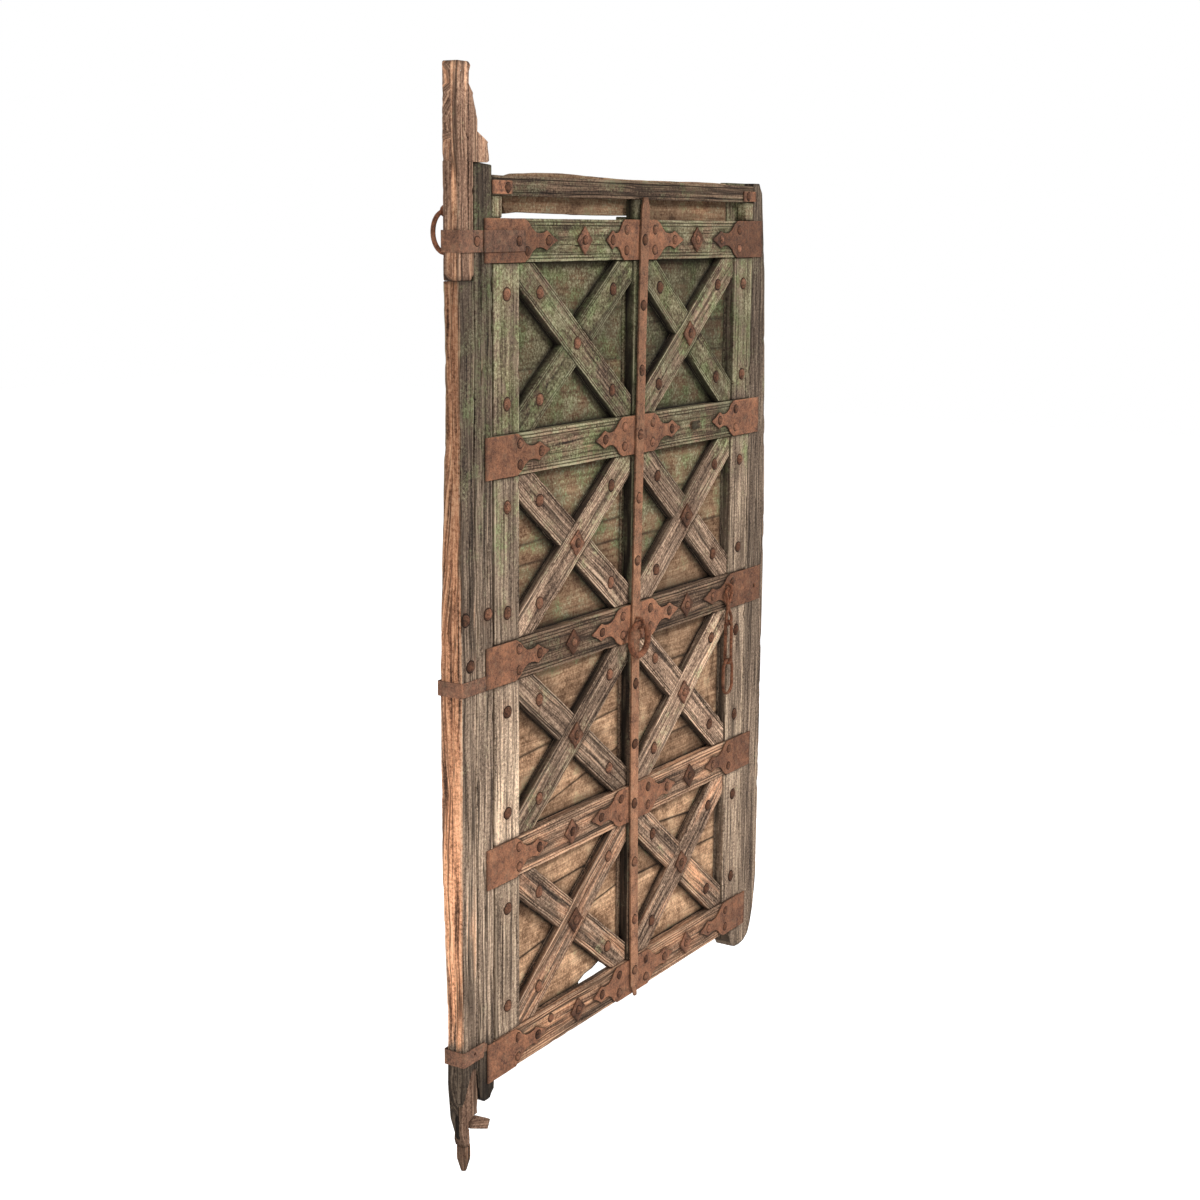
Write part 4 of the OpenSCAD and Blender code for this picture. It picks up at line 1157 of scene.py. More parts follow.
def forged_rust_group() -> bpy.types.NodeTree:
    """Rusted forged iron: patches of three browns, pits and fine scale, brighter on worn edges."""
    group = FinishGroup("Forged_rust", {
        "Bright": shade(168, 100, 70), "Mid": shade(132, 76, 55), "Dark": shade(78, 50, 42),
        "Dust": 0.25})
    n, given = group.nodes, group.given
    here = n.add("TexCoord").outputs["Object"]
    patch = n.noise(here, 30.0, 5.0, 0.68, 0.4)
    grain = n.noise(here, 160.0, 4.0, 0.72)
    scale = n.noise(here, 420.0, 3.0, 0.72)
    pits = n.add("TexVoronoi", {"Vector": here, "Scale": 190.0}, feature="F1").outputs[0]
    pit = n.times(n.minus(1.0, n.steps(pits, 0.1, 0.42)), n.steps(grain, 0.46, 0.6))
    tone = n.weighted((patch, 0.36), (grain, 0.36), (scale, 0.28))
    colour = n.mix(n.steps(tone, 0.40, 0.5), given["Dark"], given["Mid"])
    colour = n.mix(n.steps(tone, 0.50, 0.60), colour, given["Bright"])
    edge = n.times(n.mark("wear"), n.steps(grain, 0.4, 0.58), clamp=True)
    colour = n.mix(n.times(edge, 0.5), colour, given["Bright"])
    colour = n.mix(n.times(pit, 0.7), colour, PIT)
    dust = n.times(n.steps(n.noise(here, 48.0, 4.0, 0.65), 0.5, 0.68), given["Dust"])
    colour = n.mix(dust, colour, RUST_DUST)
    # Dirt and painted shade on the iron: its sides, nail rims and holes go dark
    colour = n.toned(n.mix(n.times(n.mark("grime_and_shade"), 0.85, clamp=True), colour, GRIME_AND_SHADE))
    height = n.weighted((grain, 0.6), (scale, 0.35), (patch, 0.6))
    return group.put_out(colour, n.plus(0.66, n.times(grain, 0.32)), n.minus(height, n.times(pit, 0.45)))


@dataclass(frozen=True)
class WoodFinish:
    """A weathered timber: three browns, how strong its cracks and its grain are, and its relief."""

    name: str
    pale: Colour
    mid: Colour
    dark: Colour
    cracks: float = 0.6
    grain: float = 1.0
    relief: float = 0.0028
    sheen: float = 0.15

    @property
    def values(self) -> dict[str, object]:
        """The group's inputs."""
        return {"Pale": self.pale, "Mid": self.mid, "Dark": self.dark, "Cracks": self.cracks,
                "Grain": self.grain}


@dataclass(frozen=True)
class RustFinish:
    """A rusted iron: three browns, dust, and its relief."""

    name: str
    bright: Colour
    mid: Colour
    dark: Colour
    dust: float = 0.25
    relief: float = 0.0020
    sheen: float = 0.2

    @property
    def values(self) -> dict[str, object]:
        """The group's inputs."""
        return {"Bright": self.bright, "Mid": self.mid, "Dark": self.dark, "Dust": self.dust}


WOODS = (
    WoodFinish("post_wood", shade(190, 166, 142), shade(128, 108, 91), shade(52, 42, 35), 0.9),
    WoodFinish("pivot_wood", shade(186, 152, 126), shade(138, 106, 86), shade(68, 48, 38), 0.8,
               relief=0.0022),
    WoodFinish("rail_wood", shade(204, 168, 138), shade(130, 103, 83), shade(54, 41, 33), 0.8),
    WoodFinish("strip_wood", shade(214, 188, 160), shade(142, 121, 102), shade(64, 51, 42), 0.7),
    WoodFinish("brace_wood", shade(214, 182, 154), shade(140, 114, 94), shade(58, 45, 37), 0.8),
    WoodFinish("plank_wood", shade(212, 174, 138), shade(160, 125, 96), shade(94, 68, 49), 0.35,
               grain=0.45, relief=0.002),
)
IRONS = (
    RustFinish("plate_iron", shade(172, 118, 86), shade(134, 91, 68), shade(76, 52, 42)),
    RustFinish("bar_iron", shade(178, 128, 96), shade(144, 102, 77), shade(80, 56, 44), 0.3),
    RustFinish("band_iron", shade(158, 112, 86), shade(118, 85, 68), shade(64, 47, 39), 0.4),
    RustFinish("nail_iron", shade(146, 100, 76), shade(106, 73, 57), shade(50, 36, 29), 0.2, 0.0012, 0.1),
    RustFinish("ring_iron", shade(152, 100, 74), shade(112, 73, 54), shade(56, 38, 30), 0.2, 0.0012, 0.1),
)


def finish_material(finish: Union[WoodFinish, RustFinish], group: bpy.types.NodeTree) -> bpy.types.Material:
    """A material around a finish group: its colour, roughness and height on one shader.

    Args:
        finish: its name, the group's inputs, the height of the bump in metres and the sheen.
        group: the finish group.
    Returns:
        The material.
    """
    made = bpy.data.materials.new(finish.name)
    n = fresh_nodes(made)
    coat = n.add("Group", node_tree=group)
    for key, value in finish.values.items():
        coat.inputs[key].default_value = value
    bump = n.add("Bump", {"Strength": 1.0, "Distance": finish.relief, "Height": coat.outputs["Height"]})
    shader = n.add("BsdfPrincipled", {
        "Base Color": coat.outputs["Color"], "Roughness": coat.outputs["Roughness"],
        "Normal": bump.outputs[0], "Specular IOR Level": finish.sheen, "Metallic": 0.0,
    })
    n.add("OutputMaterial", {"Surface": shader.outputs[0]})
    return made


class Finishes:
    """Every finish of the leaf, made once."""

    def __init__(self) -> None:
        """Builds both groups and all materials."""
        wood, rust = weathered_wood_group(), forged_rust_group()
        self.materials = {f.name: finish_material(f, wood) for f in WOODS}
        self.materials.update({f.name: finish_material(f, rust) for f in IRONS})

    def piece(self, name: str, parts: Sequence[Union[Board, Rod, Surface]], slot: str, node: str,
              body: str = "leaf", crease: float = CREASE, hole: Optional[Surface] = None) -> None:
        """Makes a piece, gives it the material named by its slot and its body, and hides the CAD node that
        it stands for.

        Args:
            name: the object's name.
            parts: boards, rods and surfaces that make it up.
            slot: the name of its finish.
            node: the CAD node it replaces.
            body: the CAD body it rides on.
            crease: angle in degrees beyond which an edge is sharp.
            hole: a body to take away from it.
        """
        surfaces = [p if isinstance(p, Surface) else p.surface() for p in parts]
        piece = mesh_from(name, joined(surfaces), crease)
        if hole is not None:
            carve(piece, hole)
        piece.data.materials.append(self.materials[slot])
        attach(piece, body)
        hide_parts(node)
        log.info("%s: %d faces on %s, for %s", name, len(piece.data.polygons), body, node)


# ---------------------------------------------------------------- the posts


@dataclass
class HeelPost:
    """The left stile: two halves along a wandering split, its rear flange, timber, splint and peg.

    crack, foot and hewn are the split, the lower end and the rear face. bed is the outline in
    which the front is cut back for the splint's wide face.
    """

    crack: Knots = ((60, 29), (300, 27), (700, 22), (1000, 30), (1300, 20), (1500, 26),
                    (1618, 24.3), (1818, 24.3))
    foot: Knots = (
        (-22, 78.4), (-17, 27.2), (-12, 59.2), (-8, 97.6), (8, 161.6), (28, 156.8), (31, 97.6),
        (45, 86.4), (62, 86.4), (68, 96), (78, 104))
    hewn: Knots = (
        (20, 2), (70, 18), (119, 22), (263, 20), (540, 30), (922, 31), (1158, 24), (1408, 15),
        (1618, 18), (1818, 18))
    bed: Knots = (
        (-24, 19.2), (-24, 97.6), (-15.8, 113.6), (-2.6, 146.7), (8, 165.6), (27, 160), (23, 96),
        (-2, 48), (-10, 19.2))
    bed_depth: float = -3.5
    lowest: float = 27.0
    pin_profile: Knots = (
        (-38.8, 2.5), (-38.2, 5), (-34, 6.6), (-28, 8.4), (-22, 10.2), (-16, 12), (-13, 12.7),
        (-12.4, 12.9), (-6, 12.95), (0, 12.95), (6, 12.95), (12.4, 12.9), (13, 12.6), (13.2, 10), (15, 10))
    peg_angle: float = -20.7

    def _placed(self, s: Array, t: Array, d: Array) -> Array:
        """Points of the post, set back where the splint's face lies in it."""
        back = within(t, s, self.bed) & (d < self.bed_depth)
        return np.stack([t, np.where(back, self.bed_depth, d), s], -1)

    def build(self, finishes: Finishes) -> None:
        """Makes and dresses every piece of the post."""
        front = Weather(tone_rise=-0.85, moss=-0.15, edge_loss=2.6, ridge=0.7, hollow=1.1,
                        side_dirt_and_shade=0.5, wet_foot=1.0)
        # the low side is raw wood, and side_tone_and_light lightens it further as painted light on that side
        body = replace(front, raw=0.1, raw_low_side=0.75, side_tone_and_light=0.15, side_dirt_and_shade=0.0)
        hewn = dict(rear=self.hewn, begin=self.foot, end_zone=190, radius=3.0, column=3.5, step=8.0,
                    place=self._placed)
        left = upright_board(
            POST_LEFT, 0, self.lowest, LAP_FOOT - SEAM, FRONT, 0, high=self.crack, weather=body, seed=11,
            splits=((-4, 260, 760, 1.6, 5), (6, 820, 1240, 1.4, 4), (-18.4, 930, 1616, 1.8, 5)), **hewn)
        right = upright_board(
            0, POST_RIGHT, self.lowest, POST_TOP, FRONT, 0, low=[(s, t + 0.6) for s, t in self.crack],
            finish=[(24, 1814), (40, 1818), (78, 1815)], weather=front, seed=12,
            splits=((52, 180, 560, 1.6, 5), (62, 700, 1280, 1.4, 4), (45, 1240, 1700, 1.6, 5)), **hewn)
        flange = upright_board(
            POST_RIGHT, HEEL_FLANGE, RAIL_FOOT, HEADER_TOP + 14, MIDDLE, REAR, seed=13,
            finish=[(78, 1813), (92, 1810), (108, 1799), (136, 1795)],
            weather=Weather(tone=-0.2, edge_loss=1.6))
        finishes.piece("Heel_post_hewn", (left, right, flange), "post_wood", "heel_post")
        self._timber(finishes)
        self._splint(finishes)
        self._peg(finishes)

    def _timber(self, finishes: Finishes) -> None:
        """The tapering timber at the head, worn away down its right side."""
        board = upright_board(
            POST_LEFT, 0, LAP_FOOT, TIMBER_TOP, FRONT, TIMBER_REAR,
            high=[(1618, 18), (1628, 24), (1818.2, 24), (1818.7, 65.9), (1821.8, 73.2), (1853.3, 70.9),
                  (1869.8, 37.8), (1889.7, 39.2), (1907.9, 31.8), (1927.7, 24), (1932.7, 24.9),
                  (1947.6, 13), (1967.5, 13.9), (1977.4, 18), (1984, 13)],
            radius=3.0, column=3.5, step=9.0, seed=21, end_radius=3.0,
            weather=Weather(tone=-1.4, tone_rise=1.3, moss=-0.8, raw=0.2, raw_low_side=0.2, edge_loss=3.2,
                            ridge=0.8, hollow=1.3),
            splits=((-2, 1640, 1980, 2.0, 7), (8, 1700, 1900, 1.4, 5), (-13, 1760, 1984, 1.6, 5)))
        finishes.piece("Upper_pivot_timber_worn", [board], "pivot_wood", "upper_pivot_timber")

    def _splint(self, finishes: Finishes) -> None:
        """The lighter splint beside the foot: its wide face and the part behind, the pin and its tip."""
        common = dict(radius=2.0, column=3.0, end_radius=2.0, weather=Weather(
            edge_loss=1.6, ridge=0.7, grime_and_shade=0.15, side_dirt_and_shade=0.5))
        rear = upright_board(
            0, 0, 14, 160, -4.5, 13,
            low=[(14, -10), (27.2, -14), (59.2, -11), (97.6, -7), (160, 9)],
            high=[(14, 5), (48, 6), (62.4, 24), (88, 28), (97.6, 30), (155, 27), (160, 22)],
            step=6.0, seed=31, **common)
        face = upright_board(
            0, 0, 14, 163, -13, -4,
            low=[(14, -10), (27.2, -14), (41.6, -21.5), (95.2, -21.5), (112, -15), (145, -1.7), (163, 9)],
            high=[(14, 5), (45.6, 5), (47.2, 1.5), (62.5, 3.5), (68.8, 20), (69.5, 29.5), (80, 29),
                  (97.6, 30), (155, 27), (163, 22)],
            step=5.0, seed=32, splits=((8, 80, 150, 1.2, 4),), **common)
        z, r = np.array(self.pin_profile, float).T
        pin = lathe(r, z, lambda a, b, h: np.stack([a, b, h], -1), 36, 0.012, 5)
        pin.marks["raw"] = np.full(len(pin.points), 0.3)
        pin.marks["tone"] = np.full(len(pin.points), -0.3)
        finishes.piece("Lower_pivot_splint_turned", (rear, face, pin), "pivot_wood", "lower_pivot_splint")

    def _peg(self, finishes: Finishes) -> None:
        """The slanting peg beside the splint."""
        c, s = math.cos(math.radians(self.peg_angle)), math.sin(math.radians(self.peg_angle))
        board = Board(
            reach=(-1, 63.4), low=[(-1, -3), (2, -8.1), (61.6, -10.4)], front=-17, rear=-5,
            high=[(-1, 5.6), (11.7, 17.2), (23.9, 16.1), (63.4, 10.3)],
            finish=[(-10.4, 61.6), (10.3, 63.4)], end_zone=20, origin=(3, 56), grain=(c, s),
            across=(-s, c), step=5, column=3, radius=2.2, end_radius=2.5, seed=41,
            weather=Weather(edge_loss=1.5, side_dirt_and_shade=0.4))
        finishes.piece("Foot_peg_driven", [board], "pivot_wood", "foot_peg")


@dataclass
class LockStile:
    """The right stile with its worn outer edge, its foot and its rear flange."""

    outer: Knots = (
        (69, 1146), (1072, 1146), (1384, 1132), (1613, 1120), (1716, 1108), (1784, 1100), (1804, 1088))
    foot: Knots = (
        (1058, 69.5), (1064, 69), (1088, 72), (1108, 84), (1120, 107), (1132, 145), (1142, 213),
        (1146, 248))
    top: float = 1804.0

    def build(self, finishes: Finishes) -> None:
        """Makes and dresses the stile."""
        main = upright_board(
            LOCK_LEFT, 0, 69, self.top, FRONT, REAR, high=self.outer, begin=self.foot, end_zone=280,
            radius=3.0, column=4.0, step=8.0, seed=51,
            weather=Weather(tone=-0.15, tone_rise=-0.55, moss=-0.45, edge_loss=2.8, ridge=0.7,
                            hollow=1.1, side_dirt_and_shade=0.4),
            splits=((1082, 300, 860, 1.6, 5), (1100, 900, 1300, 1.6, 5), (1074, 1000, 1600, 1.5, 5)))
        foot = upright_board(
            1018, LOCK_LEFT - 0.3, 69, 118, FRONT, REAR, end_zone=42, seed=52, step=6,
            begin=[(1018, 105), (1020, 93), (1030, 77), (1046, 71), (1058, 69.5)],
            weather=Weather(tone=-0.1, edge_loss=2.0))
        flange = upright_board(
            STRIP_RIGHT, LOCK_LEFT, 89, self.top, MIDDLE, REAR, end_zone=60, seed=53,
            begin=[(978, 123), (1000, 119), (1008, 97), (1032, 89), (1034, 121), (1058, 121)],
            weather=Weather(tone=-0.2, edge_loss=1.6))
        finishes.piece("Lock_stile_worn", (main, foot, flange), "post_wood", "lock_stile")


# ---------------------------------------------------------------- outlines of the plates


TONGUE = ((0, 0.5), (0.13, 0.4), (0.22, 0.27), (0.34, 0.18), (0.47, 0.16), (0.58, 0.18), (0.67, 0.23),
          (0.77, 0.155), (0.88, 0.08), (1, 0.012))
TONGUE_LENGTH, TIP_HALF = 107.0, 1.6


@dataclass(frozen=True)
class PlateForm:
    """A plate over a joint: the ends of its straight part, and the length of the tongue at each."""

    x0: float
    x1: float
    left: float
    right: float

    def knots(self) -> list[Pair]:
        """X and half the height, from left to right."""
        found: list[Pair] = [(self.x0, PLATE_HALF)] if not self.left else [
            (self.x0 - p * self.left, h * 2 * PLATE_HALF) for p, h in reversed(TONGUE)]
        if self.right:
            return found + [(self.x1 + p * self.right, h * 2 * PLATE_HALF) for p, h in TONGUE]
        return found + [(self.x1, PLATE_HALF)]

    def edges(self, middle: float) -> tuple[Pair, Curve, Curve]:
        """Its reach along X and its lower and upper edges about a height."""
        k = self.knots()
        low = Curve([(x, middle - max(h, TIP_HALF)) for x, h in k])
        high = Curve([(x, middle + max(h, TIP_HALF)) for x, h in k])
        return (k[0][0], k[-1][0]), low, high


LEFT_PLATES = tuple(PlateForm(52.0, 148.0 + d, 0.0, TONGUE_LENGTH) for d in (27, 4, 0, 0, -4))
CENTRE_PLATES = tuple(PlateForm(518.0, 642.0, TONGUE_LENGTH + d, TONGUE_LENGTH)
                      for d in (-42, -10, 0, -4, -16))
RIGHT_PLATES = tuple(PlateForm(982.0, 1097.0 + d, TONGUE_LENGTH + e, 0.0)
                     for d, e in ((0, 0), (0, -12), (27, 13), (-4, -10), (-14, 0)))


def plate_rim_shade(number: int) -> Callable[[Array, Array], Array]:
    """Painted shade on a rail round its plates, where they lie on the wood.

    Args:
        number: the rail.
    Returns:
        A function of X and Z: most at a plate's edge, gone a few millimetres from it.
    """
    def shade_at(x: Array, z: Array) -> Array:
        """Painted shade at places on the rail."""
        total = np.zeros(x.shape)
        for forms in (LEFT_PLATES, CENTRE_PLATES, RIGHT_PLATES):
            (x0, x1), low, _ = forms[number - 1].edges(0.0)
            off = np.abs(z - rail_middle(number)) + low(x)
            off = np.hypot(np.maximum(off, 0), np.maximum(np.maximum(x0 - x, x - x1), 0))
            total = np.maximum(total, np.exp(-off / RIM_SHADE))
        return 0.9 * total

    return shade_at


# ---------------------------------------------------------------- rails, strips and header


@dataclass
class Rails:
    """The five rails and the header, with reeds cut along their edges."""

    reeds: tuple[float, ...] = (6.5, 12.5)
    tones: tuple[float, ...] = (-0.2, -0.16, -0.6, 0.15, 0.1)
    bareness: tuple[float, ...] = (0.0, 0.0, 0.15, 0.35, 0.4)
    brighter_left: tuple[float, ...] = (0.0, 0.3, 0.0, 0.15, 0.0)
    slotted: int = 2
    slot_centre: float = 810.0
    slot_length: float = 34.0
    slot_height: float = 15.0

    def build(self, finishes: Finishes) -> None:
        """Makes and dresses all rails, the header, its board and blocks."""
        x0, x1 = POST_RIGHT + SEAM, LOCK_LEFT - SEAM
        for k, (tone, bare, brighter) in enumerate(zip(self.tones, self.bareness, self.brighter_left)):
            number, z = k + 1, rail_foot(k + 1)
            board = lying_board(
                x0, x1, z, z + RAIL_HEIGHT, FRONT, MIDDLE, reeds=self.reeds, seed=60 + number,
                column=4.5, step=6.0, contact=plate_rim_shade(number),
                weather=Weather(tone=tone, tone_across=brighter, raw=bare, edge_loss=2.2, side_dirt_and_shade=0.35),
                splits=((z + 30, 180, 520, 1.2, 3), (z + 52, 640, 930, 1.2, 3)))
            finishes.piece(f"Rail_{number}_reeded", [board], "rail_wood", f"rail_{number}",
                           hole=self._slot() if number == self.slotted else None)
        header = lying_board(
            x0, x1, HEADER_FOOT, HEADER_TOP, FRONT, MIDDLE, reeds=self.reeds[:1], seed=71, step=6.0,
            weather=Weather(tone=-0.75, moss=-0.25, edge_loss=2.6))
        finishes.piece("Header_rail_reeded", [header], "rail_wood", "header_rail")
        back = lying_board(
            PLANKS_LEFT[0], PLANKS_RIGHT[1], 0, 0, MIDDLE, PLANK_REAR,
            low=[(137.5, 1753), (151.5, 1731), (187.5, 1734), (297.5, 1733), (387.5, 1731),
                 (615, 1731), (616, 1719), (975, 1719)],
            high=[(137.5, 1796), (177.5, 1804), (247.5, 1807), (337.5, 1808), (525, 1803),
                  (655, 1802), (855, 1804), (975, 1803)],
            seed=72, step=9, splits=((1790, 180, 700, 1.6, 4),),
            weather=Weather(tone=-0.5, moss=-0.3, edge_loss=2.2, hollow=1.2, raw=0.25))
        finishes.piece("Header_back_board_ragged", [back], "plank_wood", "header_back_board")
        foot, head = rail_foot(1) + RAIL_HEIGHT + SEAM, HEADER_FOOT - SEAM
        blocks = [upright_board(a, b, foot, head, FRONT, MIDDLE, seed=seed, step=6,
                                weather=Weather(edge_loss=2.0))
                  for a, b, seed in ((x0, 108, 73), (1023, x1, 74))]
        finishes.piece("Header_blocks_worn", blocks, "rail_wood", "header_blocks")

    def _slot(self) -> Surface:
        """The worn slot clean through a rail, a little wider at both faces."""
        r, reach = self.slot_height / 2, (self.slot_length - self.slot_height) / 2
        angle = ring_angles(40)
        swing = 0.5 * layered_noise(3 + 2 * np.cos(angle), 3 + 2 * np.sin(angle), 8)
        outline = round_hole(self.slot_centre, rail_middle(self.slotted), r + swing, reach, angle)
        # the slot's walls keep the mark 0.8: dirt and painted shade inside the slot
        return prism(outline, (FRONT - 6, FRONT + 3, MIDDLE - 3, MIDDLE + 6), (1.4, 0.2, 0.0, 1.2), 0.8)


@dataclass
class Uprights:
    """The muntin and the eight strips."""

    left_tones: tuple[float, ...] = (0.05, 0.0, 0.58, 0.15)
    right_tones: tuple[float, ...] = (-0.3, 0.0, 0.1, 0.25)

    def build(self, finishes: Finishes) -> None:
        """Makes and dresses the muntin and strips."""
        weather = Weather(tone=-0.3, moss=0.3, grime_and_shade=0.35, side_dirt_and_shade=0.9, edge_loss=1.6)
        heights = [(bay_floor(row), rail_foot(row)) for row in range(1, 5)]
        boards = [upright_board(554, 612, 123, 1730, MIDDLE, REAR, seed=81,
                                weather=Weather(tone=-0.2, moss=0.1))]
        for k, (z0, z1) in enumerate(heights + [(rail_foot(1) + RAIL_HEIGHT, HEADER_FOOT)]):
            boards.append(upright_board(MUNTIN_LEFT, MUNTIN_RIGHT, z0 + SEAM, z1 - SEAM, FRONT, MIDDLE,
                                        seed=82 + k, weather=weather))
        finishes.piece("Centre_muntin_dark", boards, "rail_wood", "centre_muntin")
        for k, (z0, z1) in enumerate(heights):
            z0, z1 = z0 + SEAM, z1 - SEAM
            for word, x0, x1, tone, moss, seed, splits in (
                ("left", STRIP_LEFT, BAY_LEFT, self.left_tones[k], 0.0, 91,
                 ((104, z0 + 20, z1 - 60, 1.4, 3.5), (142, z0 + 70, z1 - 10, 1.3, 3))),
                ("right", STRIP_RIGHT, LOCK_LEFT - SEAM, self.right_tones[k], -0.1, 96,
                 ((998, z0 + 40, z1 - 20, 1.4, 3.5), (1040, z0 + 10, z1 - 90, 1.3, 3))),
            ):
                strip = upright_board(
                    x0, x1, z0, z1, FRONT, MIDDLE, seed=seed + k, column=4.0, step=7.0, splits=splits,
                    weather=Weather(tone=tone, moss=moss, edge_loss=2.2, ridge=0.6, side_dirt_and_shade=0.7))
                finishes.piece(f"{word.title()}_strip_{k + 1}_weathered", [strip], "strip_wood",
                               f"{word}_strip_{k + 1}")


# ---------------------------------------------------------------- braces and planks


@dataclass
class Bracing:
    """Two halved braces in every bay."""

    reeds: tuple[float, ...] = (4.6, 9.6)
    left_tones: tuple[float, ...] = (-0.35, 0.1, -0.15, 0.1)
    right_tones: tuple[float, ...] = (-0.2, 0.0, 0.4, 0.2)
    bareness: tuple[float, ...] = (0.0, 0.0, 0.1, 0.4)

    def build(self, finishes: Finishes) -> None:
        """Makes and dresses all sixteen braces."""
        seed = 120
        for side in Side:
            for row in range(1, 5):
                top = Way.FALLING if (side is Side.LEFT and row == 1) else Way.RISING
                for way in Way:
                    seed += 3
                    word = way.name.lower()
                    finishes.piece(
                        f"Brace_{word}_{side.value}_{row}", self._boards(side, row, way, way is top, seed),
                        "brace_wood", f"{word}_brace_{side.value}_{row}")

    def _boards(self, side: Side, row: int, way: Way, whole: bool, seed: int) -> list[Board]:
        """A brace as one board, or as two that butt on the sides of the brace above.

        Args:
            side, row, way: which brace.
            whole: whether it passes over the crossing.
            seed: picks its relief.
        Returns:
            One or two boards. An end is where the brace's line of given t meets the bay's
            limits: the larger of the two distances at which it crosses an upright and a rail.
        """
        x0, x1 = side.reach
        z0, z1 = bay_floor(row) + SEAM, rail_foot(row) - SEAM
        cx, cz = (x0 + x1) / 2, bay_middle(row)
        slope = side.slope * way.value
        g, c = (math.cos(slope), math.sin(slope)), (-math.sin(slope), math.cos(slope))
        half = BRACE_WIDTH / 2
        t = np.linspace(-half, half, 45)
        by_x = ((x0 + SEAM - cx - t * c[0]) / g[0], (x1 - SEAM - cx - t * c[0]) / g[0])
        by_z = [(z - cz - t * c[1]) / g[1] for z in ((z0, z1) if g[1] > 0 else (z1, z0))]
        begin, finish = np.maximum(by_x[0], by_z[0]), np.minimum(by_x[1], by_z[1])
        tones = self.left_tones if side is Side.LEFT else self.right_tones
        weather = Weather(tone=tones[row - 1] + (0.05 if whole else -0.05),
                          moss=0.2 * math.sin(2.1 * row + 1.3 * whole), raw=self.bareness[row - 1],
                          edge_loss=2.0, ridge=0.5, side_dirt_and_shade=0.95)

        def board(start: Array, stop: Array, **more) -> Board:
            """A board between two ends, given as s at the sampled t."""
            return Board(
                reach=(float(start.min()), float(stop.max())), low=-half, high=half,
                front=BRACE_FRONT, rear=MIDDLE, begin=list(zip(t.tolist(), start.tolist())),
                finish=list(zip(t.tolist(), stop.tolist())), origin=(cx, cz), grain=g, across=c,
                reeds=self.reeds, reed_depth=1.3, reed_width=3.0, weather=weather, end_zone=75.0,
                column=4.5, step=7.0, radius=2.0, waver=2.4, **more)

        if whole:
            return [board(begin, finish, seed=seed, splits=((half * 0.25, -150.0, 120.0, 1.2, 2.5),))]
        # The brace above: its edges as seen along this one
        other = (math.sin(slope), math.cos(slope))
        lean = g[0] * other[0] + g[1] * other[1]
        skew = c[0] * other[0] + c[1] * other[1]
        cut = (half + SEAM) * np.sign(lean)
        first, second = (-cut - t * skew) / lean, (cut - t * skew) / lean
        return [board(begin, first, seed=seed), board(second, finish, seed=seed + 1)]


def bay_contact_shade(row: int) -> Callable[[Array, Array], Array]:
    """Painted shade on a row's planks, round the rails, strips and braces in front of them.

    Args:
        row: the row of bays.
    Returns:
        A function of X and Z: most next to rails, strips and braces, and less by the same share
        for each step away from them.
    """
    def shade_at(x: Array, z: Array) -> Array:
        """Painted shade at places on the planks."""
        clear = np.full(x.shape, 1e3)
        for side in Side:
            x0, x1 = side.reach
            cx, cz = (x0 + x1) / 2, bay_middle(row)
            inner = np.minimum(
                np.minimum(x - x0, x1 - x), np.minimum(z - bay_floor(row), rail_foot(row) - z))
            for way in Way:
                a = side.slope * way.value
                off = np.abs(-math.sin(a) * (x - cx) + math.cos(a) * (z - cz)) - BRACE_WIDTH / 2
                inner = np.minimum(inner, off)
            clear = np.where((x > x0) & (x < x1), inner, clear)
        clear = np.maximum(clear, 0)
        thins = 19 + 13 * layered_noise(x / 60, z / 45, 300 + row, 2)
        return 0.55 * np.exp(-clear / CORNER_SHADE) + 0.5 * np.exp(-clear / thins)

    return shade_at


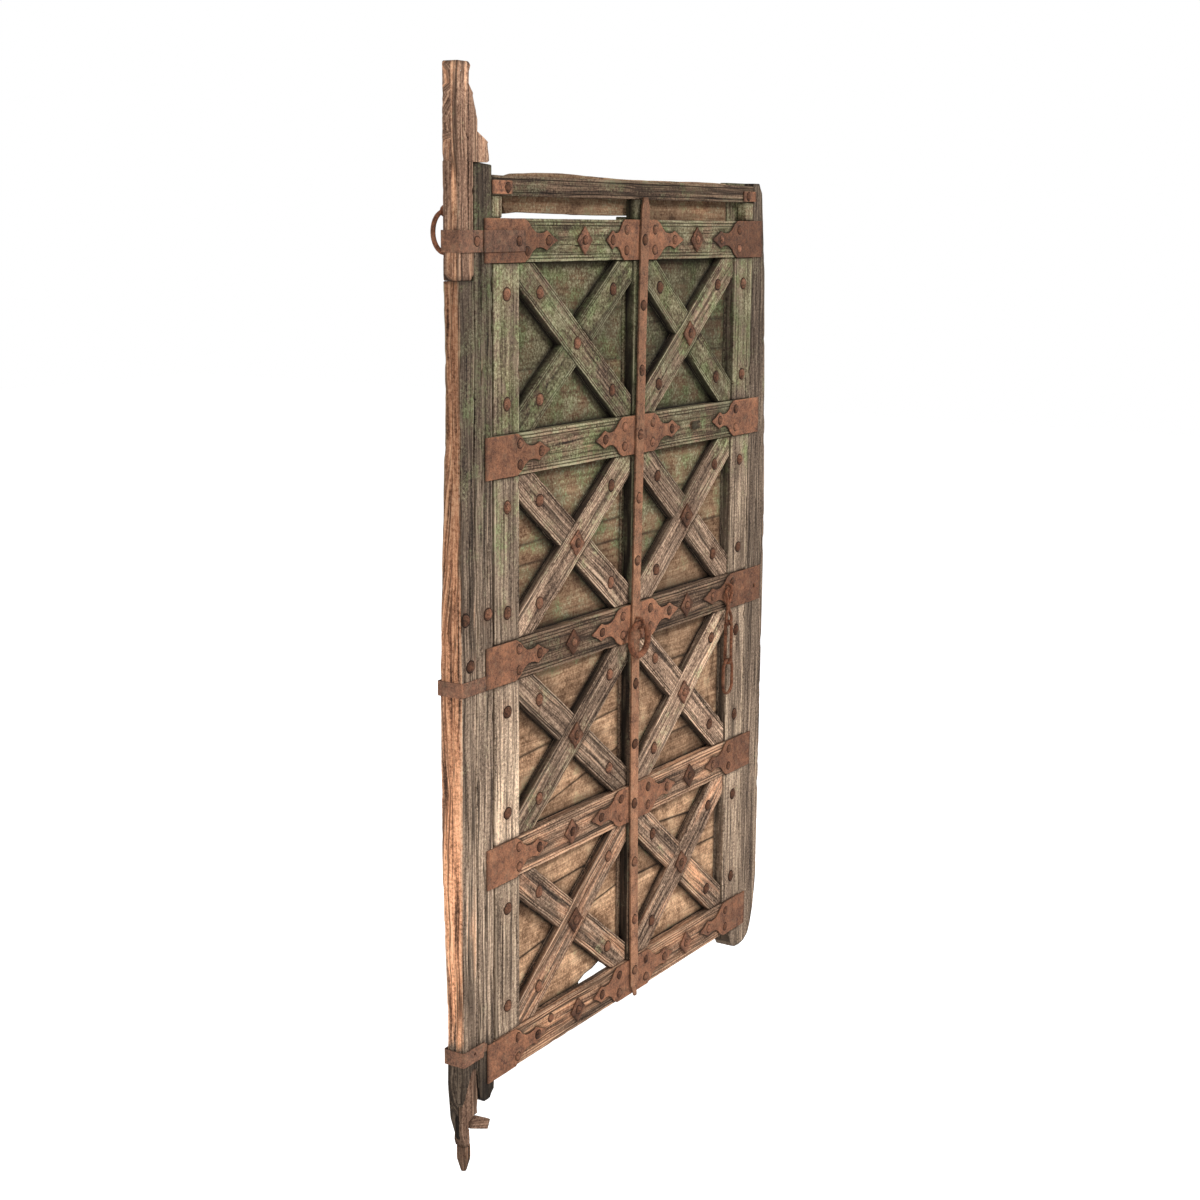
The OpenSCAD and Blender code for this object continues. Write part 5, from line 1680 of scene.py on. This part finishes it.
@dataclass
class Planking:
    """Thin boards behind the braces, one above the other.

    joints gives, for each row and bay, the heights of its two joints above the bay's floor at
    their left and right ends. Neighbours reach by bite into each other, as far as their edges
    are round, so that no light comes through.
    """

    tones: tuple[float, ...] = (-0.4, -0.15, 0.22, 0.45)
    right_shift: tuple[float, ...] = (-0.35, 0.0, -0.25, -0.1)
    joints: tuple[tuple[tuple[Pair, Pair], ...], ...] = (
        (((108, 113), (212, 214)), ((112, 112), (180, 176))),
        (((128, 134), (166, 178)), ((131, 128), (218, 214))),
        (((-4, 82), (139, 163)), ((60, 66), (228, 224))),
        (((114, 168), (232, 250)), ((166, 156), (266, 236))))
    under: float = -12.0
    over: float = BAY_HEIGHT + 20.0
    bite: float = 1.4
    split_length: float = 146.0
    split_height: float = 22.0

    def build(self, finishes: Finishes) -> None:
        """Makes and dresses the planks, a piece for each row."""
        for row in range(1, 5):
            boards = [self._plank(row, bay, x0, x1, k)
                      for bay, (x0, x1) in enumerate((PLANKS_LEFT, PLANKS_RIGHT)) for k in range(3)]
            finishes.piece(f"Planks_row_{row}_sawn", boards, "plank_wood", f"planks_row_{row}")

    def _plank(self, row: int, bay: int, x0: float, x1: float, k: int) -> Board:
        """One plank.

        Args:
            row, bay: where it lies; bay 0 is the left one.
            x0, x1: its ends.
            k: its number in the bay, from the lowest.
        Returns:
            The plank.
        """
        ends = [(self.under,) * 2, *self.joints[row - 1][bay], (self.over,) * 2]
        bite = (-self.bite if k else 0.0, self.bite if k < 2 else 0.0)
        low, high = (
            Curve([(x0, bay_floor(row) + max(a, self.under) + c), (x1, bay_floor(row) + b + c)])
            for (a, b), c in zip(ends[k:k + 2], bite))
        if row == 4 and bay == 0 and k == 0:
            low = self._broken_edge(x0, x1, row)
        tone = self.tones[row - 1] + self.right_shift[row - 1] * bay + 0.14 * math.sin(row * 2 + k * 2.3)
        return lying_board(
            x0, x1, 0, 0, MIDDLE, PLANK_REAR, low=low, high=high, seed=200 + 10 * row + k + 3 * bay,
            radius=1.6, column=5.0, step=6.5, contact=bay_contact_shade(row),
            weather=Weather(tone=tone, edge_loss=1.2, ridge=0.3, hollow=0.9, grime_and_shade=0.1,
                            dark_edge=0.3 + 0.18 * row))

    def _broken_edge(self, x0: float, x1: float, row: int) -> Curve:
        """Lower edge of the plank that has split away from the rail near the muntin."""
        floor, edge = bay_floor(row), x1 - self.split_length
        rise = ((0.5 / self.split_length, 0.0), (0.16, 0.4), (0.36, 0.54), (0.58, 0.92), (1.0, 1.0))
        return Curve([(x0, floor + self.under), (edge, floor + self.under)]
                     + [(edge + a * self.split_length, floor + b * self.split_height) for a, b in rise])


# ---------------------------------------------------------------- ironwork


# the iron's sides get painted shade with dirt, deeper towards the back
HAMMERED = Weather(edge_loss=0.6, ridge=0.0, hollow=0.7, side_dirt_and_shade=0.6)


def forged_board(**given) -> Board:
    """A board with the fine steps of a hammered plate."""
    settings = dict(radius=0.7, end_radius=0.7, step=3.5, column=4.0, weather=HAMMERED)
    settings.update(given)
    return Board(**settings)


@dataclass
class Plates:
    """The plates over the joints of the rails and header."""

    left_tones: tuple[float, ...] = (-0.4, -0.3, -0.05, 0.15, 0.05)
    centre_tones: tuple[float, ...] = (-0.25, -0.2, 0.15, 0.0, 0.1)
    right_tones: tuple[float, ...] = (-0.85, -0.15, -0.45, -0.25, -0.1)
    bite: float = 0.4

    def build(self, finishes: Finishes) -> None:
        """Makes and dresses the three rows of plates, and the short plain ones on the header."""
        corners = ((1088, 912), (1098, 912), (1098, 922), (1088, 922))
        # the hole's walls keep the mark 0.9: dirt and painted shade inside it
        nail_hole = prism(np.array(corners, float), (PLATE_FRONT - 3, FRONT + 0.2), (0, 0), 0.9)
        for name, forms, tones, seed, short, hole in (
            ("Left", LEFT_PLATES, self.left_tones, 300, [((76, 136), 1766, 1790, 330, 0.2)], None),
            ("Centre", CENTRE_PLATES, self.centre_tones, 310, [], None),
            ("Right", RIGHT_PLATES, self.right_tones, 320, [((1008, 1064), 1765, 1787, 331, -0.4)],
             nail_hole),
        ):
            plates = [(*form.edges(rail_middle(k + 1)), seed + k + 1, tone)
                      for k, (form, tone) in enumerate(zip(forms, tones))]
            parts = [forged_board(reach=reach, low=low, high=high, front=PLATE_FRONT, seed=own_seed,
                                  rear=FRONT + self.bite, weather=replace(HAMMERED, tone=tone))
                     for reach, low, high, own_seed, tone in plates + short]
            finishes.piece(f"{name}_plates_forged", parts, "plate_iron",
                           f"{name.lower()}_plates", hole=hole)


@dataclass
class Bar:
    """The long flat bar down the middle, which wavers from rail to rail."""

    reach: Pair = (113, 1768)
    foot: Knots = ((113, 581), (143, 565))
    foot_right: Knots = ((113, 590), (133, 590), (149, 595))
    head: float = 1746.0

    def build(self, finishes: Finishes) -> None:
        """Makes and dresses the bar."""
        half = BAR_WIDTH / 2
        rails = [(rail_middle(i), BAR_CENTRE + BAR_DRIFT[i - 1]) for i in range(5, 0, -1)]
        board = forged_board(
            reach=self.reach,
            low=[*self.foot, *((z, x - half) for z, x in rails), (self.head, 575), (self.reach[1], 582.5)],
            high=[*self.foot_right, *((z, x + half) for z, x in rails), (self.head, 605),
                  (self.reach[1], 597.5)],
            front=BAR_FRONT, rear=PLATE_FRONT, grain=(0.0, 1.0), across=(1.0, 0.0), radius=0.9,
            end_radius=0.9, step=5.0, seed=340,
            weather=replace(HAMMERED, hollow=0.9, edge_loss=1.1, tone_rise=-0.4))
        finishes.piece("Centre_bar_forged", [board], "bar_iron", "centre_bar")


@dataclass
class Bands:
    """The three bands bent round the heel post."""

    thickness: float = 3.0
    bend: float = 2.0
    hole_radius: float = 3.2

    def _strap(self, low: Shape, high: Shape, depth: float, front_end: float, rear_end: float,
               seed: int) -> Board:
        """A strap bent round the post: a flat section carried along a path in X and Y.

        Args:
            low, high: its edges in Z, by run.
            depth: depth of the post under it.
            front_end, rear_end: X of its two ends.
            seed: picks its relief.
        Returns:
            The strap. The path is its inner face; d is measured outwards from it.
        """
        r, x, y0, y1 = self.bend, POST_LEFT, FRONT, FRONT + depth
        path = np.concatenate([
            [[front_end, y0, 0]],
            arc((x + r, y0 + r, 0), (0, -1, 0), (-1, 0, 0), r, 0, 90, 5),
            arc((x + r, y1 - r, 0), (-1, 0, 0), (0, 1, 0), r, 0, 90, 5),
            [[rear_end, y1, 0]],
        ])
        run = run_of(path)
        tangent = np.gradient(path, axis=0)
        tangent /= np.linalg.norm(tangent, axis=1, keepdims=True)

        def place(s: Array, t: Array, d: Array) -> Array:
            """Points on the bent path: its point + d x the normal, which is the tangent turned."""
            s = np.clip(s, 0, run[-1])
            px, py = np.interp(s, run, path[:, 0]), np.interp(s, run, path[:, 1])
            nx, ny = np.interp(s, run, tangent[:, 1]), np.interp(s, run, -tangent[:, 0])
            size = np.hypot(nx, ny)
            return np.stack([px + nx / size * d, py + ny / size * d, t], -1)

        return forged_board(
            reach=(0.0, float(run[-1])), low=low, high=high, rear=0.0, seed=seed, step=3.0,
            front=[(float(q), -self.thickness) for q in run], place=place)

    def build(self, finishes: Finishes) -> None:
        """Makes and dresses the bands."""
        cover = forged_board(reach=(46, 173), low=[(46, 1665.5), (173, 1666.5)], high=1704.5, front=-24,
                             rear=-21, seed=352, weather=replace(HAMMERED, tone=-0.3))
        upper = self._strap(1665.5, 1704.5, 36, 51.5, 78, 351)
        finishes.piece("Upper_band_forged", [upper, cover], "band_iron", "upper_band")
        middle = self._strap(883, 911, 50.5, 51.5, 78, 353)
        finishes.piece("Middle_band_forged", [middle], "band_iron", "middle_band")
        lower = self._strap([(0, 188), (11, 188), (12, 179), (400, 179)],
                            [(0, 203), (7, 204), (8, 209), (400, 209)], 42, 50, 78, 354)
        # the hole's walls keep the cutter's mark: dirt and painted shade inside it
        outline = round_hole(11, 196, self.hole_radius, 0, ring_angles(12))
        finishes.piece("Lower_band_forged", [lower], "band_iron", "lower_band",
                       hole=prism(outline, (FRONT - 9, FRONT - 0.3), (0, 0), 1.0))


def solids_of(node: str) -> list[tuple[Array, Array]]:
    """Boxes of the separate solids of a CAD node.

    Args:
        node: the CAD node's name.
    Returns:
        Lowest and highest corner of each solid, in mm, from the lowest upwards.
    """
    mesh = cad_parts[node].data
    co = np.zeros(len(mesh.vertices) * 3, np.float32)
    mesh.vertices.foreach_get("co", co)
    co = co.reshape(-1, 3) / MM
    _, same = np.unique(np.round(co, 2), axis=0, return_inverse=True)
    same = same.ravel()
    corners = np.zeros(len(mesh.loops), np.int32)
    mesh.loops.foreach_get("vertex_index", corners)
    faces = same[corners.reshape(-1, 3)]
    # Every point takes the least label of the points it shares a face with, until none changes
    label, before = np.arange(same.max() + 1), None
    while before is None or (label != before).any():
        before, least = label.copy(), label[faces].min(1)
        for k in range(3):
            np.minimum.at(label, faces[:, k], least)
        label = label[label]
    group = label[same]
    boxes = [(co[group == g].min(0), co[group == g].max(0)) for g in np.unique(group)]
    return sorted(boxes, key=lambda b: (round(float(b[0][2])), float(b[0][0])))


def middle_of(low: Array, high: Array) -> Pair:
    """X and Z of a box's middle."""
    return float(low[0] + high[0]) / 2, float(low[2] + high[2]) / 2


@dataclass
class Fasteners:
    """Nails with hammered heads and the square washers.

    A nail's profile runs over the dome of its head, by share of its radius, then along its rim
    and its shank; wear and rim_shade are its marks along that way, rim_shade being painted shade with rust
    under the rim and on the ring round the head.
    """

    segments: int = 18
    dome: tuple[float, ...] = (0.22, 0.45, 0.66, 0.83, 0.94, 1.0)
    wear: tuple[float, ...] = (0.9, 0.8, 0.6, 0.5, 0.6, 0.8, 0.1, 0, 0, 0, 0, 0)
    rim_shade: tuple[float, ...] = (0, 0, 0, 0.1, 0.3, 0.7, 1, 1, 1, 0.3, 0.3, 0.3)
    washer_half: float = 19.0
    washer_thickness: float = 4.2
    washer_nail: Pair = (8.0, 4.5)
    upright_below: float = 53.5

    def _nail(self, x: float, z: float, top: float, tip: float, head_r: float, head_h: float,
              seed: int) -> Surface:
        """A nail: a dome of the height h (1 - q^2.2) over a rim, then a tapering shank.

        Args:
            x, z: its centre.
            top, tip: Y of the head's top and of the shank's end.
            head_r, head_h: radius and height of the head.
            seed: picks its unevenness.
        Returns:
            The closed surface.
        """
        q = np.array(self.dome)
        shank, face = 0.27 * head_r, top + head_h
        radius = np.concatenate([
            q * head_r, [0.99 * head_r, 1.16 * head_r, 1.2 * head_r, shank, 0.9 * shank, 0.5 * shank]])
        depth = np.concatenate([
            top + head_h * q**2.2, [face + 0.1, face + 0.2, face + 1.2, face + 2.0, tip - 5, tip - 0.3]])
        tilt_x, tilt_z = 0.05 * math.sin(seed * 2.4), 0.05 * math.cos(seed * 1.7)
        squash = 1 + 0.05 * math.sin(seed * 3.1)

        def place(a: Array, b: Array, h: Array) -> Array:
            """Points of the tilted, slightly oval head."""
            near = ramp(-(h - top), -head_h - 1.5, 0)
            return np.stack([x + a * squash, h + near * (a * tilt_x + b * tilt_z), z + b / squash], -1)

        made = lathe(radius, depth, place, self.segments, 0.11, seed, np.array(self.wear))
        # painted shade with rust: dark under the head's rim and on the ring round it
        made.marks["grime_and_shade"] = np.concatenate([np.repeat(np.array(self.rim_shade), self.segments), [0, 0.3]])
        made.marks["tone"] = np.full(len(made.points), 0.45 * math.sin(seed * 5.3) - 0.15)
        return made

    def note_places(self) -> None:
        """Lists every fastener's place, so that boards can carry rust below it."""
        for node, r in (("wood_nails", 11.0), ("square_washers", 19.0)):
            NAIL_PLACES.extend((*middle_of(low, high), r) for low, high in solids_of(node))

    def build(self, finishes: Finishes) -> None:
        """Makes and dresses every nail and washer."""
        for node, head_h in (("wood_nails", 5.0), ("plate_nails", 3.5), ("bar_nails", 5.5)):
            parts = [self._nail(*middle_of(low, high), float(low[1]), float(high[1]),
                                float(high[0] - low[0]) / 2, head_h, 400 + k)
                     for k, (low, high) in enumerate(solids_of(node))]
            finishes.piece(f"{node.capitalize()}_hammered", parts, "nail_iron", node, crease=ROUND_CREASE)
            log.info("%s: %d nails", node, len(parts))
        parts, half = [], self.washer_half
        for k, (low, high) in enumerate(solids_of("square_washers")):
            x, z = middle_of(low, high)
            square = float(high[0] - low[0]) < self.upright_below
            angle = Side.LEFT.slope if square else math.pi / 4
            g, c = (math.cos(angle), math.sin(angle)), (-math.sin(angle), math.cos(angle))
            face = float(low[1]) + self.washer_nail[1]
            parts.append(Board(
                reach=(-half, half), low=-half, high=half, front=face, rear=face + self.washer_thickness,
                origin=(x, z), grain=g, across=c, radius=1.0, end_radius=1.2, step=4, column=4, seed=480 + k,
                weather=replace(HAMMERED, hollow=1.1, edge_loss=1.4, tone=0.4 * math.sin(k * 2.1))))
            parts.append(self._nail(x, z, float(low[1]), float(high[1]), *self.washer_nail, 470 + k))
        finishes.piece("Square_washers_forged", parts, "nail_iron", "square_washers")


@dataclass
class Hanging:
    """The ring pull, the chain, the ring behind the post, and their staples."""

    ring_radius: float = 33.5
    ring_rod: float = 13.0
    ring_y: float = -33.5
    ring_hinge: float = 922.0
    rear_radius: float = 35.5
    rear_rod: float = 9.0
    rear_y: float = 26.5
    rear_hinge: float = 1736.0
    link_rod: float = 7.0
    twisted_radius: float = 13.0
    twist: float = 2.2
    hasp_radius: float = 20.0
    staple_rod: float = 6.0
    play: float = 0.5

    def _ring(self, x: float, y: float, hinge: float, r: float, rod: float, seed: int) -> Rod:
        """A round ring, rubbed thin at its hinge."""
        path = arc((x, y, hinge - r), (1, 0, 0), (0, 0, 1), r, 0, 360, 97)[:-1]

        def thin(p: Array) -> Array:
            """Share of the full radius, least next to the hinge."""
            return 1 - 0.09 * np.exp(-((p[:, 2] - hinge) / 9) ** 2)

        return Rod(path, (0, 1, 0), rod, True, seed, 18, 0.04, thin)

    def _staple(self, at: Sequence[float], rod: float, leg: float, way: float, seed: int) -> Rod:
        """A staple in the YZ plane round a rod: a half circle and two legs along Y."""
        x, y, z = at
        r = rod / 2 + self.play + self.staple_rod / 2
        bow = arc(at, (0, 0, 1), (0, -way, 0), r, 0, 180, 17)
        path = np.concatenate([[[x, y + way * leg, z + r]], bow, [[x, y + way * leg, z - r]]])
        return Rod(even_path(path, 2.0, False), (1, 0, 0), self.staple_rod, False, seed, 12, 0.045)

    def _link_path(self, top: float, low: float, r: float, across: Sequence[float], back: float,
                   count: int, step: float) -> Array:
        """A link's path: two half circles, one above the other.

        Args:
            top, low: heights of their centres.
            r: their radius.
            across: the way that lies in the link's plane beside Z.
            back: -1 where the sides run straight down, 1 where they cross.
            count: points in each half circle.
            step: distance wanted between the path's points.
        Returns:
            The closed path.
        """
        e1 = np.array(across, float)
        return even_path(np.concatenate([
            arc((CHAIN_X, CHAIN_Y, top), e1, (0, 0, 1), r, 0, 180, count),
            arc((CHAIN_X, CHAIN_Y, low), back * e1, (0, 0, -1), r, 0, 180, count)]), step, True)

    def _links(self) -> tuple[Rod, Rod, Rod]:
        """The link whose sides pass one in front of the other, the turned one and the wide one."""
        hinges = CHAIN_Z, CHAIN_Z - LINK_1_PITCH, CHAIN_Z - LINK_1_PITCH - LINK_2_PITCH
        r = self.twisted_radius
        top, low = hinges[0] - r, hinges[1] + r
        twisted = self._link_path(top, low, r, (1, 0, 0), 1, 19, 2.2)
        near = np.exp(-(((twisted[:, 2] - (top + low) / 2) / 13) ** 2))
        twisted[:, 1] += self.twist * near * np.sign(np.roll(twisted[:, 0], -1) - twisted[:, 0])
        turned = self._link_path(hinges[1], hinges[2], self.link_rod + self.play, (0, 1, 0), -1, 17, 2.0)
        r = self.hasp_radius
        wide = self._link_path(hinges[2] - r, hinges[2] - HASP_LENGTH + r, r, (1, 0, 0), -1, 25, 2.2)
        return (Rod(twisted, (0, 1, 0), self.link_rod, True, 501),
                Rod(turned, (1, 0, 0), self.link_rod, True, 502),
                Rod(wide, (0, 1, 0), self.link_rod, True, 503))

    def build(self, finishes: Finishes) -> None:
        """Makes and dresses the hanging pieces."""
        pull_at, rear_at = (RING_X, self.ring_y, self.ring_hinge), (0.0, self.rear_y, self.rear_hinge)
        twisted, turned, wide = self._links()
        for name, parts, body, node in (
            ("Ring_staple_forged", [self._staple(pull_at, self.ring_rod, 27.5, 1, 510)],
             "leaf", "ring_staple"),
            ("Chain_staples_forged", [
                self._staple((CHAIN_X, CHAIN_Y, CHAIN_Z), self.link_rod, 24.0, 1, 511),
                self._staple(rear_at, self.rear_rod, 24.5, -1, 512)], "leaf", "chain_staple"),
            ("Ring_pull_forged", [self._ring(*pull_at, self.ring_radius, self.ring_rod, 520)],
             "pull", "ring_pull"),
            ("Rear_ring_forged", [self._ring(*rear_at, self.rear_radius, self.rear_rod, 521)],
             "back_ring", "rear_ring"),
            ("Upper_link_twisted", [twisted], "upper_link", "chain_link_1"),
            ("Turned_link_forged", [turned], "turned_link", "chain_link_2"),
            ("Hasp_link_forged", [wide], "hasp", "hasp_link"),
        ):
            finishes.piece(name, parts, "ring_iron", node, body, ROUND_CREASE)


# ---------------------------------------------------------------- studio


@dataclass
class Studio:
    """Camera at the photograph's angle, pale floor, white surroundings and soft lamps, in metres."""

    eye: Place3 = (-2.72816, -1.99263, 1.71589)
    right: Place3 = (0.53000395, -0.84796002, 0.00772122)
    up: Place3 = (0.1581496, 0.10778622, 0.98151456)
    ahead: Place3 = (0.83311735, 0.51898549, -0.19123166)
    lens: float = 57.9
    sensor: float = 36.0
    sight: float = 60.0
    floor_height: float = -0.039
    floor_half: float = 14.0
    floor_glow: float = 0.76
    lamps: tuple[tuple[str, Place3, float, float], ...] = (
        ("Key", (2.2, -3.2, 3.9), 1.1, 165), ("Fill", (-4.2, -1.6, 1.9), 2.0, 95),
        ("Back", (0.6, 3.8, 2.6), 2.6, 80))
    target: Place3 = (0.55, 0.0, 0.95)

    def camera(self) -> None:
        """Creates the camera."""
        data = bpy.data.cameras.new("Camera")
        data.lens, data.sensor_width, data.sensor_fit = self.lens, self.sensor, "AUTO"
        data.clip_end = self.sight
        camera = added("Camera", data)
        turn = Matrix((self.right, self.up, tuple(-a for a in self.ahead))).transposed()
        camera.matrix_world = Matrix.Translation(Vector(self.eye)) @ turn.to_4x4()
        bpy.context.scene.camera = camera

    def lamp(self, name: str, place: Place3, size: float, power: float) -> None:
        """Adds a square soft lamp that faces the leaf's middle."""
        data = bpy.data.lights.new(name, "AREA")
        data.size, data.energy = size, power
        lamp = added(name, data)
        lamp.location = Vector(place)
        lamp.rotation_euler = (Vector(self.target) - Vector(place)).to_track_quat("-Z", "Y").to_euler()

    def floor(self) -> None:
        """A wide pale floor that shows white to the camera but keeps shadows."""
        mesh = bpy.data.meshes.new("Studio_floor")
        r, z = self.floor_half, self.floor_height
        mesh.from_pydata([(-r, -r, z), (r, -r, z), (r, r, z), (-r, r, z)], [], [(0, 1, 2, 3)])
        floor = added("Studio_floor", mesh)
        made = bpy.data.materials.new("studio_floor")
        n = fresh_nodes(made)
        strength = n.times(n.rays("Camera", "Glossy"), self.floor_glow)
        glow = n.add("Emission", {"Color": WHITE, "Strength": strength})
        plain = n.add("BsdfDiffuse", {"Color": (0.8, 0.8, 0.8, 1)})
        both = n.add("AddShader", {0: plain.outputs[0], 1: glow.outputs[0]})
        n.add("OutputMaterial", {"Surface": both.outputs[0]})
        mesh.materials.append(made)

    def surroundings(self) -> None:
        """A world that is white to the eye and lights the leaf gently."""
        world = bpy.data.worlds.new("Studio_world")
        bpy.context.scene.world = world
        n = fresh_nodes(world)
        strength = n.plus(n.times(n.rays("Camera", "Glossy", "Transmission"), 0.6), 0.4)
        back = n.add("Background", {"Color": WHITE, "Strength": strength})
        n.add("OutputWorld", {"Surface": back.outputs[0]})

    def build(self) -> None:
        """Sets the whole studio."""
        self.camera()
        self.floor()
        self.surroundings()
        for lamp in self.lamps:
            self.lamp(*lamp)
        bpy.context.scene.view_settings.view_transform = "Standard"


def main() -> None:
    """Builds and dresses every piece and sets the studio."""
    logging.basicConfig(level=logging.INFO, format="%(name)s: %(message)s")
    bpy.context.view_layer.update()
    finishes, fasteners = Finishes(), Fasteners()
    fasteners.note_places()
    for assembly in (HeelPost(), LockStile(), Rails(), Uprights(), Bracing(), Planking(), Plates(), Bar(),
                     Bands(), fasteners, Hanging()):
        assembly.build(finishes)
    Studio().build()
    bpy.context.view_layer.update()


if __name__ == "__main__":
    main()
